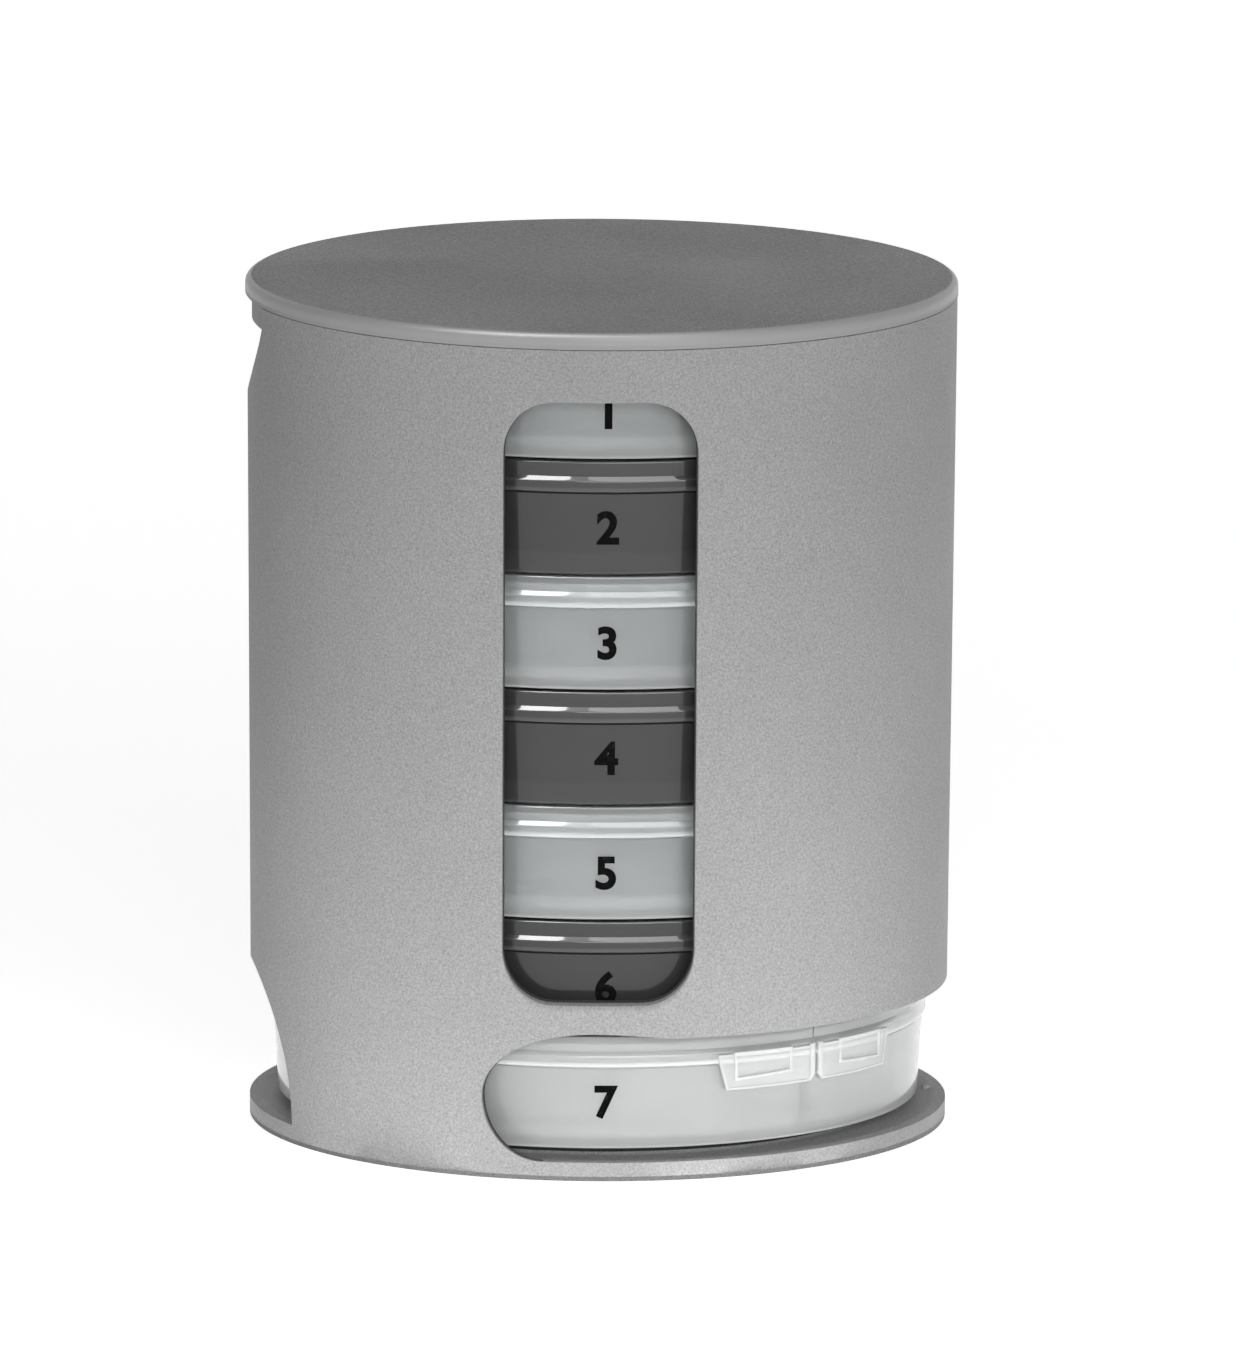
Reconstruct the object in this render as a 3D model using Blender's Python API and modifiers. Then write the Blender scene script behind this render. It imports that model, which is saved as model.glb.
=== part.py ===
"""Weekly pill organizer: a drum-shaped case that holds a stack of seven day trays.

Metres, +Z up. The origin is on the case's axis, in the plane that it stands on.
Azimuths are in degrees round that axis, from the front (-Y) towards +X.
"""

import math

import bmesh
import bpy
from mathutils import Matrix, Vector

# Names of the day trays, from the top of the stack down, and of a tray's four compartments
DAYS = ("sun", "mon", "tue", "wed", "thu", "fri", "sat")
SMOKY_DAYS = ("mon", "wed", "fri")
DOSES = ("morning", "noon", "evening", "bedtime")

# Clearances
SEAT_GAP = 0.0003  # between two pieces that rest or slide on each other
HINGE_GAP = 0.0003  # the thin web of a moulded hinge
CUT_OVERRUN = 0.002  # how far a cutter passes the wall that it cuts

# Day tray: a round cup under a moulded top of one fixed bar and four hinged flaps
TRAY_HEIGHT = 0.01835
TRAY_AZIMUTH = 41.0
TOP_RADIUS = 0.0532
TOP_SHEET = 0.0012
TOP_EDGE_ROUND = 0.0007
SHOULDER_DEPTH = 0.0026
SHOULDER_STEP = 0.0005
SHOULDER_SLOPE = 0.0003
SKIRT_DEPTH = 0.0049
SKIRT_WALL = 0.0012
CUP_SET_BACK = 0.00055
CUP_DRAFT = 0.0008
CUP_EDGE_ROUND = 0.0008
CUP_WALL = 0.0012
CUP_FLOOR = 0.0012
DIVIDER_WALL = 0.0012
POCKET_CORNER_ROUND = 0.0030
BAR_WIDTH = 0.0060

# Pull tab on each flap, beside the split between two flaps
TAB_PROUD = 0.0005
TAB_OVERLAP = 0.0003
TAB_DEPTH = 0.0093
TAB_NEAR_ARC = 0.0003
TAB_FAR_ARC = 0.0186
TAB_SLANT = 0.0015
TAB_NOTCH = 0.0011

# Case: one moulded drum with a floor, open at the top
CASE_WALL = 0.0018
CASE_DRAFT = 0.0010
CASE_CLEARANCE = 0.0009
CURB_HEIGHT = 0.0030
FLOOR_DROP = 0.0006
FLOOR_SHEET = 0.0016
FOOT_WIDTH = 0.0040
FOOT_ROUND = 0.0006
PLATFORM_HEIGHT = 0.0011
PLATFORM_INSET = 0.0049
PLATFORM_ROUND = 0.0005
NUB_RADIUS = 0.0012
NUB_RISE = 0.0013
NUB_INSET = 0.0006
NUB_ANGLE = 32.0
LIP_CLEARANCE = 0.0003

# Lid: a disc with a rounded rim, over a skirt that drops inside the case
LID_RIM_HEIGHT = 0.0025
LID_OVERHANG = 0.0001
LID_TOP_ROUND = 0.0012
LID_LOWER_ROUND = 0.0003
LID_SHEET = 0.0018
LID_SKIRT_DEPTH = 0.0044
LID_SKIRT_WALL = 0.0012
LID_SKIRT_INSET = 0.0010

# Front window
WINDOW_WIDTH = 0.0312
WINDOW_CORNER = 0.0084
WINDOW_SILL = 0.00195
WINDOW_OVERRUN = 0.0003
WINDOW_FOOT_RISE = 0.0057
WINDOW_HEAD_DROP = 0.0084

# Exit slot, where the lowest tray slides out
EXIT_AZIMUTH = 65.0
SLOT_HALF_ANGLE = 84.2
SLOT_CREST_ANGLE = 66.0
SLOT_FLAT_ANGLE = 53.4
SLOT_TOE_ANGLE = 74.0
SLOT_CREST_RISE = 0.0014

# Rear opening, from the floor to the top, where a finger reaches the trays
REAR_HALF_ANGLE = 31.2
REAR_TOP_HALF_ANGLE = 43.2
REAR_FOOT_HALF_ANGLE = 54.3
REAR_FOOT_HEIGHT = 0.0235
REAR_TOP_EDGE = 0.0034
REAR_TOP_FLARE = 0.0118
REAR_FLARE_SHARES = ((0.0, 0.0), (0.33, 0.22), (0.55, 0.42), (0.74, 0.62), (0.89, 0.81), (1.0, 1.0))

# Number of flats round each turned piece, and along the curves of the openings
CASE_STEPS = 72
TRAY_STEPS = 40
ARC_STEPS = 5
ROUND_STEPS = 2
NUB_STEPS = 10
MERGE_DISTANCE = 0.00001
FLAT_ANGLE = 0.5
SNAP_ANGLE = 0.1

# Worked out from the sizes above
TRAY_PITCH = TRAY_HEIGHT + SEAT_GAP
FLOOR_Z = CURB_HEIGHT - FLOOR_DROP
PLATFORM_Z = CURB_HEIGHT + PLATFORM_HEIGHT
STACK_Z = PLATFORM_Z + SEAT_GAP
STACK_TOP_Z = STACK_Z + len(DAYS) * TRAY_PITCH - SEAT_GAP
TAB_RADIUS = TOP_RADIUS + TAB_PROUD
CUP_RIM_RADIUS = TOP_RADIUS - CUP_SET_BACK
CUP_FOOT_RADIUS = CUP_RIM_RADIUS - CUP_DRAFT
CUP_RIM_Z = TRAY_HEIGHT - SKIRT_DEPTH - SEAT_GAP
CUP_TOP_Z = TRAY_HEIGHT - TOP_SHEET - SEAT_GAP
CUP_LIP_RADIUS = TOP_RADIUS - SKIRT_WALL - SEAT_GAP
POCKET_RADIUS = CUP_FOOT_RADIUS - CUP_WALL
PLATFORM_RADIUS = CUP_FOOT_RADIUS - PLATFORM_INSET
CASE_BORE = TAB_RADIUS + CASE_CLEARANCE
CASE_FOOT_RADIUS = CASE_BORE + CASE_WALL
CASE_TOP_RADIUS = CASE_FOOT_RADIUS + CASE_DRAFT
LID_RADIUS = CASE_TOP_RADIUS + LID_OVERHANG
LID_SKIRT_RADIUS = CASE_TOP_RADIUS - LID_SKIRT_INSET
CASE_TOP_Z = STACK_TOP_Z
LID_SEAT_Z = CASE_TOP_Z + SEAT_GAP
LID_TOP_Z = LID_SEAT_Z + LID_RIM_HEIGHT
LID_UNDER_Z = LID_TOP_Z - LID_SHEET
LID_SKIRT_Z = LID_SEAT_Z - LID_SKIRT_DEPTH
SLOT_TOP_Z = STACK_Z + TRAY_HEIGHT + SEAT_GAP
SLOT_CREST_Z = SLOT_TOP_Z + SLOT_CREST_RISE


def clear_scene():
    """Remove every object, so that the model starts from an empty scene."""
    for item in list(bpy.data.objects):
        bpy.data.objects.remove(item, do_unlink=True)


def new_collection(name, hidden=False):
    """Make a collection in the scene."""
    made = bpy.data.collections.new(name)
    bpy.context.scene.collection.children.link(made)
    made.hide_render = hidden
    return made


def new_material(name, colour, roughness, alpha=1.0):
    """Make a plain plastic."""
    made = bpy.data.materials.new(name)
    made.use_nodes = True
    shader = made.node_tree.nodes["Principled BSDF"]
    shader.inputs["Base Color"].default_value = (*colour, 1.0)
    shader.inputs["Roughness"].default_value = roughness
    shader.inputs["Metallic"].default_value = 0.0
    shader.inputs["Alpha"].default_value = alpha
    made.diffuse_color = (*colour, alpha)
    return made


def new_object(name, mesh, collection):
    """Put a mesh in the scene as an object, with smooth round faces."""
    mesh.shade_smooth()
    mesh.set_sharp_from_angle(angle=math.radians(30.0))
    made = bpy.data.objects.new(name, mesh)
    collection.objects.link(made)
    return made


def dress(piece, material):
    """Give one object its own material, also where it shares its mesh."""
    if not piece.data.materials:
        piece.data.materials.append(material)
    piece.material_slots[0].link = "OBJECT"
    piece.material_slots[0].material = material


def around(radius, azimuth, height):
    """A point at an azimuth in degrees, on a circle round the Z axis."""
    angle = math.radians(azimuth)
    return Vector((radius * math.sin(angle), -radius * math.cos(angle), height))


def arc_points(centre, radii, start, end, steps):
    """Points along an elliptical arc, in degrees from the first axis."""
    points = []
    for step in range(steps + 1):
        angle = math.radians(start + (end - start) * step / steps)
        across = centre[0] + radii[0] * math.cos(angle)
        up = centre[1] + radii[1] * math.sin(angle)
        points.append((across, up))
    return points


def degrees_of(arc, radius):
    """The angle in degrees that an arc length spans at a radius."""
    return math.degrees(arc / radius)


def case_inner_radius(height):
    """Radius of the case's bore at a height: it widens a little upwards."""
    return CASE_BORE + CASE_DRAFT * height / CASE_TOP_Z


def case_outer_radius(height):
    """Radius of the case's outside at a height."""
    return case_inner_radius(height) + CASE_WALL


def turned(name, profile, steps, collection):
    """Turn a profile of (radius, height) points about Z, down its outer side."""
    mesh = bpy.data.meshes.new(name)
    shape = bmesh.new()
    corners = [shape.verts.new((radius, 0.0, height)) for radius, height in profile]
    for first, second in zip(corners, corners[1:]):
        shape.edges.new((first, second))
    shape.to_mesh(mesh)
    shape.free()
    piece = bpy.data.objects.new(name, mesh)
    collection.objects.link(piece)
    screw = piece.modifiers.new("turn", "SCREW")
    screw.axis = "Z"
    screw.angle = math.tau
    screw.steps = steps
    screw.render_steps = steps
    screw.use_merge_vertices = True
    screw.merge_threshold = MERGE_DISTANCE
    screw.use_smooth_shade = True
    return piece


def solid_mesh(piece):
    """Replace an object that has modifiers by its finished mesh."""
    bpy.context.view_layer.update()
    evaluated = piece.evaluated_get(bpy.context.evaluated_depsgraph_get())
    mesh = bpy.data.meshes.new_from_object(evaluated)
    mesh.name = piece.name
    bpy.data.objects.remove(piece, do_unlink=True)
    return mesh


def merge_flats(mesh):
    """Join neighbouring faces that lie in one plane."""
    shape = bmesh.new()
    shape.from_mesh(mesh)
    bmesh.ops.remove_doubles(shape, verts=shape.verts, dist=MERGE_DISTANCE)
    bmesh.ops.dissolve_limit(
        shape, angle_limit=math.radians(FLAT_ANGLE), verts=shape.verts, edges=shape.edges
    )
    shape.to_mesh(mesh)
    shape.free()
    return mesh


def combine(piece, other, operation):
    """Cut a piece by another solid, or join the two."""
    change = piece.modifiers.new(other.name, "BOOLEAN")
    change.operation = operation
    change.solver = "EXACT"
    change.object = other
    return change


def as_cutter(piece):
    """Mark a solid as one that only cuts or joins others."""
    piece.hide_render = True
    piece.display_type = "WIRE"
    return piece


def wrapped_solid(name, outline, middle, radii, slices, collection, lower_outer=None):
    """Bend a flat outline of (degrees, height) points round Z, between two radii.

    slices gives the azimuth of one slice and the angle between slices. lower_outer gives how
    far the outer side of a point lies below its inner side.
    """
    shape = bmesh.new()
    corners = [shape.verts.new((angle, 0.0, height)) for angle, height in outline]
    face = shape.faces.new(corners)
    grown = bmesh.ops.extrude_face_region(shape, geom=[face])
    outer = [item for item in grown["geom"] if isinstance(item, bmesh.types.BMVert)]
    for corner in outer:
        corner.co.y = 1.0
        if lower_outer:
            corner.co.z -= lower_outer(corner.co.z)
    start, slice_angle = slices
    first = math.ceil((middle + min(angle for angle, height in outline) - start) / slice_angle)
    last = math.floor((middle + max(angle for angle, height in outline) - start) / slice_angle)
    for number in range(first, last + 1):
        everything = shape.verts[:] + shape.edges[:] + shape.faces[:]
        across = Vector((start + number * slice_angle - middle, 0.0, 0.0))
        bmesh.ops.bisect_plane(
            shape, geom=everything, dist=SNAP_ANGLE, plane_co=across, plane_no=Vector((1.0, 0.0, 0.0))
        )
    for corner in shape.verts:
        radius = radii[0] + (radii[1] - radii[0]) * corner.co.y
        corner.co = around(radius, middle + corner.co.x, corner.co.z)
    bmesh.ops.recalc_face_normals(shape, faces=shape.faces)
    if shape.calc_volume(signed=True) < 0:
        bmesh.ops.reverse_faces(shape, faces=shape.faces)
    mesh = bpy.data.meshes.new(name)
    shape.to_mesh(mesh)
    shape.free()
    return new_object(name, mesh, collection)


def both_halves(half):
    """Add the mirror image of half an outline, whose ends lie on the middle line or straddle it."""
    return half + [(-angle, height) for angle, height in reversed(half)]


def case_profile():
    """Half section of the case, from the middle of its platform to the middle of its underside."""
    rabbet_radius = LID_SKIRT_RADIUS + LIP_CLEARANCE
    rabbet_z = LID_SKIRT_Z - SEAT_GAP
    foot_inner = CASE_FOOT_RADIUS - FOOT_WIDTH
    underside_z = FLOOR_Z - FLOOR_SHEET
    return [
        (0.0, PLATFORM_Z),
        (PLATFORM_RADIUS - PLATFORM_ROUND, PLATFORM_Z),
        (PLATFORM_RADIUS, PLATFORM_Z - PLATFORM_ROUND),
        (PLATFORM_RADIUS, FLOOR_Z),
        (case_inner_radius(FLOOR_Z), FLOOR_Z),
        (case_inner_radius(rabbet_z), rabbet_z),
        (rabbet_radius, rabbet_z),
        (rabbet_radius, CASE_TOP_Z),
        (case_outer_radius(CASE_TOP_Z), CASE_TOP_Z),
        (case_outer_radius(FOOT_ROUND), FOOT_ROUND),
        (CASE_FOOT_RADIUS - FOOT_ROUND, 0.0),
        (foot_inner, 0.0),
        (foot_inner, underside_z),
        (0.0, underside_z),
    ]


def window_outline():
    """Upright rounded rectangle, from half a tray above the exit slot to half a tray below the top."""
    half = degrees_of(WINDOW_WIDTH / 2, CASE_TOP_RADIUS)
    corner = degrees_of(WINDOW_CORNER, CASE_TOP_RADIUS)
    low = SLOT_CREST_Z + WINDOW_FOOT_RISE
    high = CASE_TOP_Z - WINDOW_HEAD_DROP
    radii = (corner, WINDOW_CORNER)
    upper = arc_points((half - corner, high - WINDOW_CORNER), radii, 90.0, 0.0, ARC_STEPS)
    lower = arc_points((half - corner, low + WINDOW_CORNER), radii, 0.0, -90.0, ARC_STEPS)
    return both_halves(upper + lower)


def slot_outline():
    """Exit slot: a long flat opening with round ends, and a low hump before each end."""
    half = []
    hump = SLOT_CREST_ANGLE - SLOT_FLAT_ANGLE
    for step in range(ARC_STEPS):
        share = step / ARC_STEPS
        rise = SLOT_CREST_RISE * (1 - (1 - share) ** 2)
        half.append((SLOT_FLAT_ANGLE + hump * share, SLOT_TOP_Z + rise))
    middle_z = (CURB_HEIGHT + SLOT_CREST_Z) / 2
    end = SLOT_HALF_ANGLE - SLOT_CREST_ANGLE
    toe = SLOT_HALF_ANGLE - SLOT_TOE_ANGLE
    half += arc_points((SLOT_CREST_ANGLE, middle_z), (end, SLOT_CREST_Z - middle_z), 90.0, 0.0, ARC_STEPS)
    half += arc_points((SLOT_TOE_ANGLE, middle_z), (toe, middle_z - CURB_HEIGHT), 0.0, -90.0, ARC_STEPS)[1:]
    return both_halves(half)


def rear_outline():
    """Rear opening: a tall slot that flares out to the floor and, less, to the top."""
    above = CASE_TOP_Z + CUT_OVERRUN
    half = [(REAR_TOP_HALF_ANGLE, above)]
    flare_top = CASE_TOP_Z - REAR_TOP_EDGE
    for across, down in REAR_FLARE_SHARES:
        angle = REAR_TOP_HALF_ANGLE + (REAR_HALF_ANGLE - REAR_TOP_HALF_ANGLE) * (1 - across)
        half.append((angle, flare_top - REAR_TOP_FLARE * (1 - down)))
    half[1:] = reversed(half[1:])
    foot = REAR_FOOT_HALF_ANGLE - REAR_HALF_ANGLE
    centre = (REAR_HALF_ANGLE, CURB_HEIGHT)
    half += arc_points(centre, (foot, REAR_FOOT_HEIGHT), 90.0, 0.0, ARC_STEPS + 1)
    return both_halves(half)


def window_radii():
    """Radii between which the window's cutter runs."""
    return (CASE_BORE - WINDOW_OVERRUN, CASE_TOP_RADIUS + CUT_OVERRUN)


def window_sill(height):
    """How far the sloping sill drops from the cutter's inner side to its outer side.

    The slope fades out up the corners.
    """
    inner, outer = window_radii()
    low = SLOT_CREST_Z + WINDOW_FOOT_RISE
    fade = max(0.0, 1 - (height - low) / WINDOW_CORNER)
    return WINDOW_SILL / CASE_WALL * (outer - inner) * fade


def make_nub(cutters):
    """Low dome on the floor inside the curb, beside the lowest tray's way out."""
    shape = bmesh.new()
    bmesh.ops.create_uvsphere(shape, u_segments=NUB_STEPS, v_segments=NUB_STEPS // 2, radius=NUB_RADIUS)
    bmesh.ops.scale(shape, verts=shape.verts, vec=(1.0, 1.0, NUB_RISE / NUB_RADIUS))
    place = around(CASE_BORE - NUB_INSET, EXIT_AZIMUTH + NUB_ANGLE, FLOOR_Z)
    bmesh.ops.translate(shape, verts=shape.verts, vec=place)
    mesh = bpy.data.meshes.new("nub")
    shape.to_mesh(mesh)
    shape.free()
    return as_cutter(new_object("nub", mesh, cutters))


def make_case(collection, cutters, material):
    """The drum, with its window, exit slot and rear opening cut through the wall."""
    case = turned("case", case_profile(), CASE_STEPS, collection)
    facet = 360.0 / CASE_STEPS
    slices = (facet / 2, facet)
    beyond = (CASE_BORE - CUT_OVERRUN, CASE_TOP_RADIUS + CUT_OVERRUN)
    window = wrapped_solid("window_cutter", window_outline(), 0.0, window_radii(), slices, cutters, window_sill)
    slot = wrapped_solid("slot_cutter", slot_outline(), EXIT_AZIMUTH, beyond, slices, cutters)
    rear = wrapped_solid("rear_cutter", rear_outline(), EXIT_AZIMUTH + 180.0, beyond, slices, cutters)
    for cutter in (window, slot, rear):
        combine(case, as_cutter(cutter), "DIFFERENCE")
    combine(case, make_nub(cutters), "UNION")
    case = new_object("case", merge_flats(solid_mesh(case)), collection)
    dress(case, material)
    return case


def make_lid(collection, material):
    """The lid, whose origin is on the case's axis at its seat."""
    top = LID_TOP_Z - LID_SEAT_Z
    under = LID_UNDER_Z - LID_SEAT_Z
    skirt = LID_SKIRT_Z - LID_SEAT_Z
    inner = LID_SKIRT_RADIUS - LID_SKIRT_WALL
    centre = (LID_RADIUS - LID_TOP_ROUND, top - LID_TOP_ROUND)
    rim = arc_points(centre, (LID_TOP_ROUND, LID_TOP_ROUND), 90.0, 0.0, ROUND_STEPS + 1)
    profile = [(0.0, top)] + rim
    profile += [
        (LID_RADIUS, LID_LOWER_ROUND),
        (LID_RADIUS - LID_LOWER_ROUND, 0.0),
        (LID_SKIRT_RADIUS, 0.0),
        (LID_SKIRT_RADIUS, skirt),
        (inner, skirt),
        (inner, under),
        (0.0, under),
    ]
    lid = turned("lid", profile, CASE_STEPS, collection)
    lid.location.z = LID_SEAT_Z
    dress(lid, material)
    return lid


def cup_profile():
    """Half section of a tray's cup before its compartments are hollowed out."""
    foot = arc_points(
        (CUP_FOOT_RADIUS - CUP_EDGE_ROUND, CUP_EDGE_ROUND), (CUP_EDGE_ROUND, CUP_EDGE_ROUND), 0.0, -90.0, 1
    )
    return [
        (0.0, CUP_TOP_Z),
        (CUP_LIP_RADIUS, CUP_TOP_Z),
        (CUP_LIP_RADIUS, CUP_RIM_Z),
        (CUP_RIM_RADIUS, CUP_RIM_Z),
        *foot,
        (0.0, 0.0),
    ]


def make_pockets(cutters):
    """The four compartments of a cup as one cutter, with rounded corners."""
    wall = DIVIDER_WALL / 2
    reach = math.sqrt(POCKET_RADIUS**2 - wall**2)
    start = math.degrees(math.asin(wall / POCKET_RADIUS))
    arc = arc_points((0.0, 0.0), (POCKET_RADIUS, POCKET_RADIUS), start, 90.0 - start, TRAY_STEPS // 4)
    outline = [(wall, wall), (reach, wall)] + arc[1:-1] + [(wall, reach)]
    quarter = bmesh.new()
    corners = [quarter.verts.new((across, along, CUP_FLOOR)) for across, along in outline]
    face = quarter.faces.new(corners)
    ends = (corners[0].co.copy(), corners[1].co.copy(), corners[-1].co.copy())
    grown = bmesh.ops.extrude_face_region(quarter, geom=[face])
    raised = [item for item in grown["geom"] if isinstance(item, bmesh.types.BMVert)]
    bmesh.ops.translate(quarter, verts=raised, vec=(0.0, 0.0, CUP_TOP_Z + CUT_OVERRUN - CUP_FLOOR))
    bmesh.ops.recalc_face_normals(quarter, faces=quarter.faces)
    upright = [
        edge
        for edge in quarter.edges
        if any(all((corner.co.xy - end.xy).length < MERGE_DISTANCE for corner in edge.verts) for end in ends)
    ]
    bmesh.ops.bevel(
        quarter, geom=upright, offset=POCKET_CORNER_ROUND, affect="EDGES", segments=ROUND_STEPS, profile=0.5, material=-1
    )
    whole = bmesh.new()
    for turn in range(len(DOSES)):
        mesh = bpy.data.meshes.new("pocket")
        quarter.to_mesh(mesh)
        mesh.transform(Matrix.Rotation(math.radians(90.0) * turn, 4, "Z"))
        whole.from_mesh(mesh)
        bpy.data.meshes.remove(mesh)
    mesh = bpy.data.meshes.new("pockets")
    whole.to_mesh(mesh)
    quarter.free()
    whole.free()
    return as_cutter(new_object("pocket_cutter", mesh, cutters))


def top_profile():
    """Half section of a tray's top: a sheet, a stepped shoulder and a skirt."""
    shoulder_radius = TOP_RADIUS - SHOULDER_STEP
    inner = TOP_RADIUS - SKIRT_WALL
    under = TRAY_HEIGHT - TOP_SHEET
    foot = TRAY_HEIGHT - SKIRT_DEPTH
    return [
        (0.0, TRAY_HEIGHT),
        (shoulder_radius - TOP_EDGE_ROUND, TRAY_HEIGHT),
        (shoulder_radius, TRAY_HEIGHT - TOP_EDGE_ROUND),
        (shoulder_radius, TRAY_HEIGHT - SHOULDER_DEPTH),
        (TOP_RADIUS, TRAY_HEIGHT - SHOULDER_DEPTH - SHOULDER_SLOPE),
        (TOP_RADIUS, foot),
        (inner, foot),
        (inner, under),
        (0.0, under),
    ]


def cut_by_planes(mesh, planes):
    """Keep the part of a closed mesh behind each plane, and close it again."""
    shape = bmesh.new()
    shape.from_mesh(mesh)
    for point, normal in planes:
        everything = shape.verts[:] + shape.edges[:] + shape.faces[:]
        bmesh.ops.bisect_plane(shape, geom=everything, plane_co=point, plane_no=normal, clear_outer=True)
        rim = [edge for edge in shape.edges if edge.is_boundary]
        bmesh.ops.holes_fill(shape, edges=rim)
    bmesh.ops.recalc_face_normals(shape, faces=shape.faces)
    shape.to_mesh(mesh)
    shape.free()
    return merge_flats(mesh)


def tab_outline():
    """A flap's pull tab: slanted on its far side, nicked at the split between two flaps."""
    near = degrees_of(TAB_NEAR_ARC, TAB_RADIUS)
    far = degrees_of(TAB_FAR_ARC, TAB_RADIUS)
    slant = degrees_of(TAB_SLANT, TAB_RADIUS)
    notch = degrees_of(TAB_NOTCH, TAB_RADIUS)
    top = TRAY_HEIGHT - SHOULDER_DEPTH - SHOULDER_SLOPE - TAB_OVERLAP
    foot = TRAY_HEIGHT - TAB_DEPTH
    return [
        (near, top),
        (far, top),
        (far - slant, foot),
        (near + notch, foot),
        (near, foot + TAB_NOTCH),
    ]


def make_flap_mesh(collection):
    """One flap in its tray's frame, moved so that its hinge line is the X axis."""
    hinge = BAR_WIDTH / 2 + HINGE_GAP / 2
    edge = BAR_WIDTH / 2 + HINGE_GAP
    whole = solid_mesh(turned("flap", top_profile(), TRAY_STEPS, collection))
    planes = (
        (Vector((0.0, -edge, 0.0)), Vector((0.0, 1.0, 0.0))),
        (Vector((SEAT_GAP / 2, 0.0, 0.0)), Vector((-1.0, 0.0, 0.0))),
    )
    flap = new_object("flap_body", cut_by_planes(whole, planes), collection)
    radii = ((CUP_RIM_RADIUS + TOP_RADIUS) / 2, TAB_RADIUS)
    tab = wrapped_solid("tab", tab_outline(), 0.0, radii, (0.0, 360.0 / TRAY_STEPS), collection)
    combine(flap, tab, "UNION")
    mesh = merge_flats(solid_mesh(flap))
    bpy.data.objects.remove(tab, do_unlink=True)
    mesh.transform(Matrix.Translation((0.0, hinge, -TRAY_HEIGHT)))
    mesh.name = "flap"
    return mesh


def mirrored_mesh(mesh, name):
    """A copy of a mesh, mirrored left to right."""
    copy = mesh.copy()
    copy.name = name
    copy.transform(Matrix.Scale(-1.0, 4, (1.0, 0.0, 0.0)))
    copy.flip_normals()
    return copy


def make_bar_mesh(collection):
    """The fixed bar across a tray's top, which carries the four hinges."""
    whole = solid_mesh(turned("hinge_bar", top_profile(), TRAY_STEPS, collection))
    half = BAR_WIDTH / 2
    planes = (
        (Vector((0.0, half, 0.0)), Vector((0.0, 1.0, 0.0))),
        (Vector((0.0, -half, 0.0)), Vector((0.0, -1.0, 0.0))),
    )
    return cut_by_planes(whole, planes)


def make_trays(collection, cutters, clear, smoky):
    """Seven equal trays: a cup, its hinge bar and four flaps, each flap on its hinge line."""
    pockets = make_pockets(cutters)
    blank = turned("tray", cup_profile(), TRAY_STEPS, collection)
    combine(blank, pockets, "DIFFERENCE")
    cup_mesh = merge_flats(solid_mesh(blank))
    bar_mesh = make_bar_mesh(collection)
    right_mesh = make_flap_mesh(collection)
    left_mesh = mirrored_mesh(right_mesh, "flap_left")
    hinge = BAR_WIDTH / 2 + HINGE_GAP / 2
    places = ((left_mesh, 0.0), (right_mesh, 0.0), (left_mesh, 180.0), (right_mesh, 180.0))
    for number, day in enumerate(reversed(DAYS)):
        material = smoky if day in SMOKY_DAYS else clear
        cup = new_object("tray_" + day, cup_mesh, collection)
        cup.location.z = STACK_Z + TRAY_PITCH * number
        cup.rotation_euler.z = math.radians(TRAY_AZIMUTH)
        dress(cup, material)
        bar = new_object("hinge_bar_" + day, bar_mesh, collection)
        bar.parent = cup
        dress(bar, material)
        for dose, (mesh, turn) in zip(DOSES, places):
            flap = new_object("flap_" + day + "_" + dose, mesh, collection)
            flap.parent = cup
            flap.location = around(hinge, turn, TRAY_HEIGHT)
            flap.rotation_euler.z = math.radians(turn)
            dress(flap, material)


def main():
    """Build the whole organizer."""
    clear_scene()
    parts = new_collection("weekly_pill_organizer")
    cutters = new_collection("cutters", hidden=True)
    grey = new_material("grey_abs", (0.38, 0.38, 0.38), 0.45)
    clear = new_material("clear_polypropylene", (0.82, 0.84, 0.85), 0.35, 0.45)
    smoky = new_material("smoky_polypropylene", (0.22, 0.22, 0.23), 0.35, 0.6)
    make_case(parts, cutters, grey)
    make_lid(parts, grey)
    make_trays(parts, cutters, clear, smoky)


main()
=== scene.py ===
"""A weekly pill organizer: a lidded drum with a window and an exit slot, over seven stacked day trays.

Every length is in metres. Azimuths are in degrees round the drum's axis, from the front (-Y)
towards +X, and heights are counted from the plane that the drum stands on.
"""

import logging
import math
from collections.abc import Callable, Sequence
from dataclasses import dataclass, field, replace
from enum import Enum

import bmesh
import bpy
from bmesh.types import BMEdge, BMesh, BMVert
from bpy.types import ID, Material, Mesh, Node, NodeSocket, NodeTree, Object
from mathutils import Matrix, Vector


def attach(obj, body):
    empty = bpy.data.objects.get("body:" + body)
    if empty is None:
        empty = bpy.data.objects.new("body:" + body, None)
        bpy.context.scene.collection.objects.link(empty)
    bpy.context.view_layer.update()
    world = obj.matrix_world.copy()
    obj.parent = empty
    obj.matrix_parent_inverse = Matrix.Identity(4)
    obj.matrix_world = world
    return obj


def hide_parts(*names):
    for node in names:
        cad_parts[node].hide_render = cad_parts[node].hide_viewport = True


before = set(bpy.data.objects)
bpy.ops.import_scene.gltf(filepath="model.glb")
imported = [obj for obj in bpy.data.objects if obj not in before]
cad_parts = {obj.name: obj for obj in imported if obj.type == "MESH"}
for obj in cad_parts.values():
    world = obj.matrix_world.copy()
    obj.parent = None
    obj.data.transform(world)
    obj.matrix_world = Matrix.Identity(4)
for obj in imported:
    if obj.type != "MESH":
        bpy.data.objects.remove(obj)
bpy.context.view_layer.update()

MM = 0.001
FINE_STEPS = 144  # flats in a full turn
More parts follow.
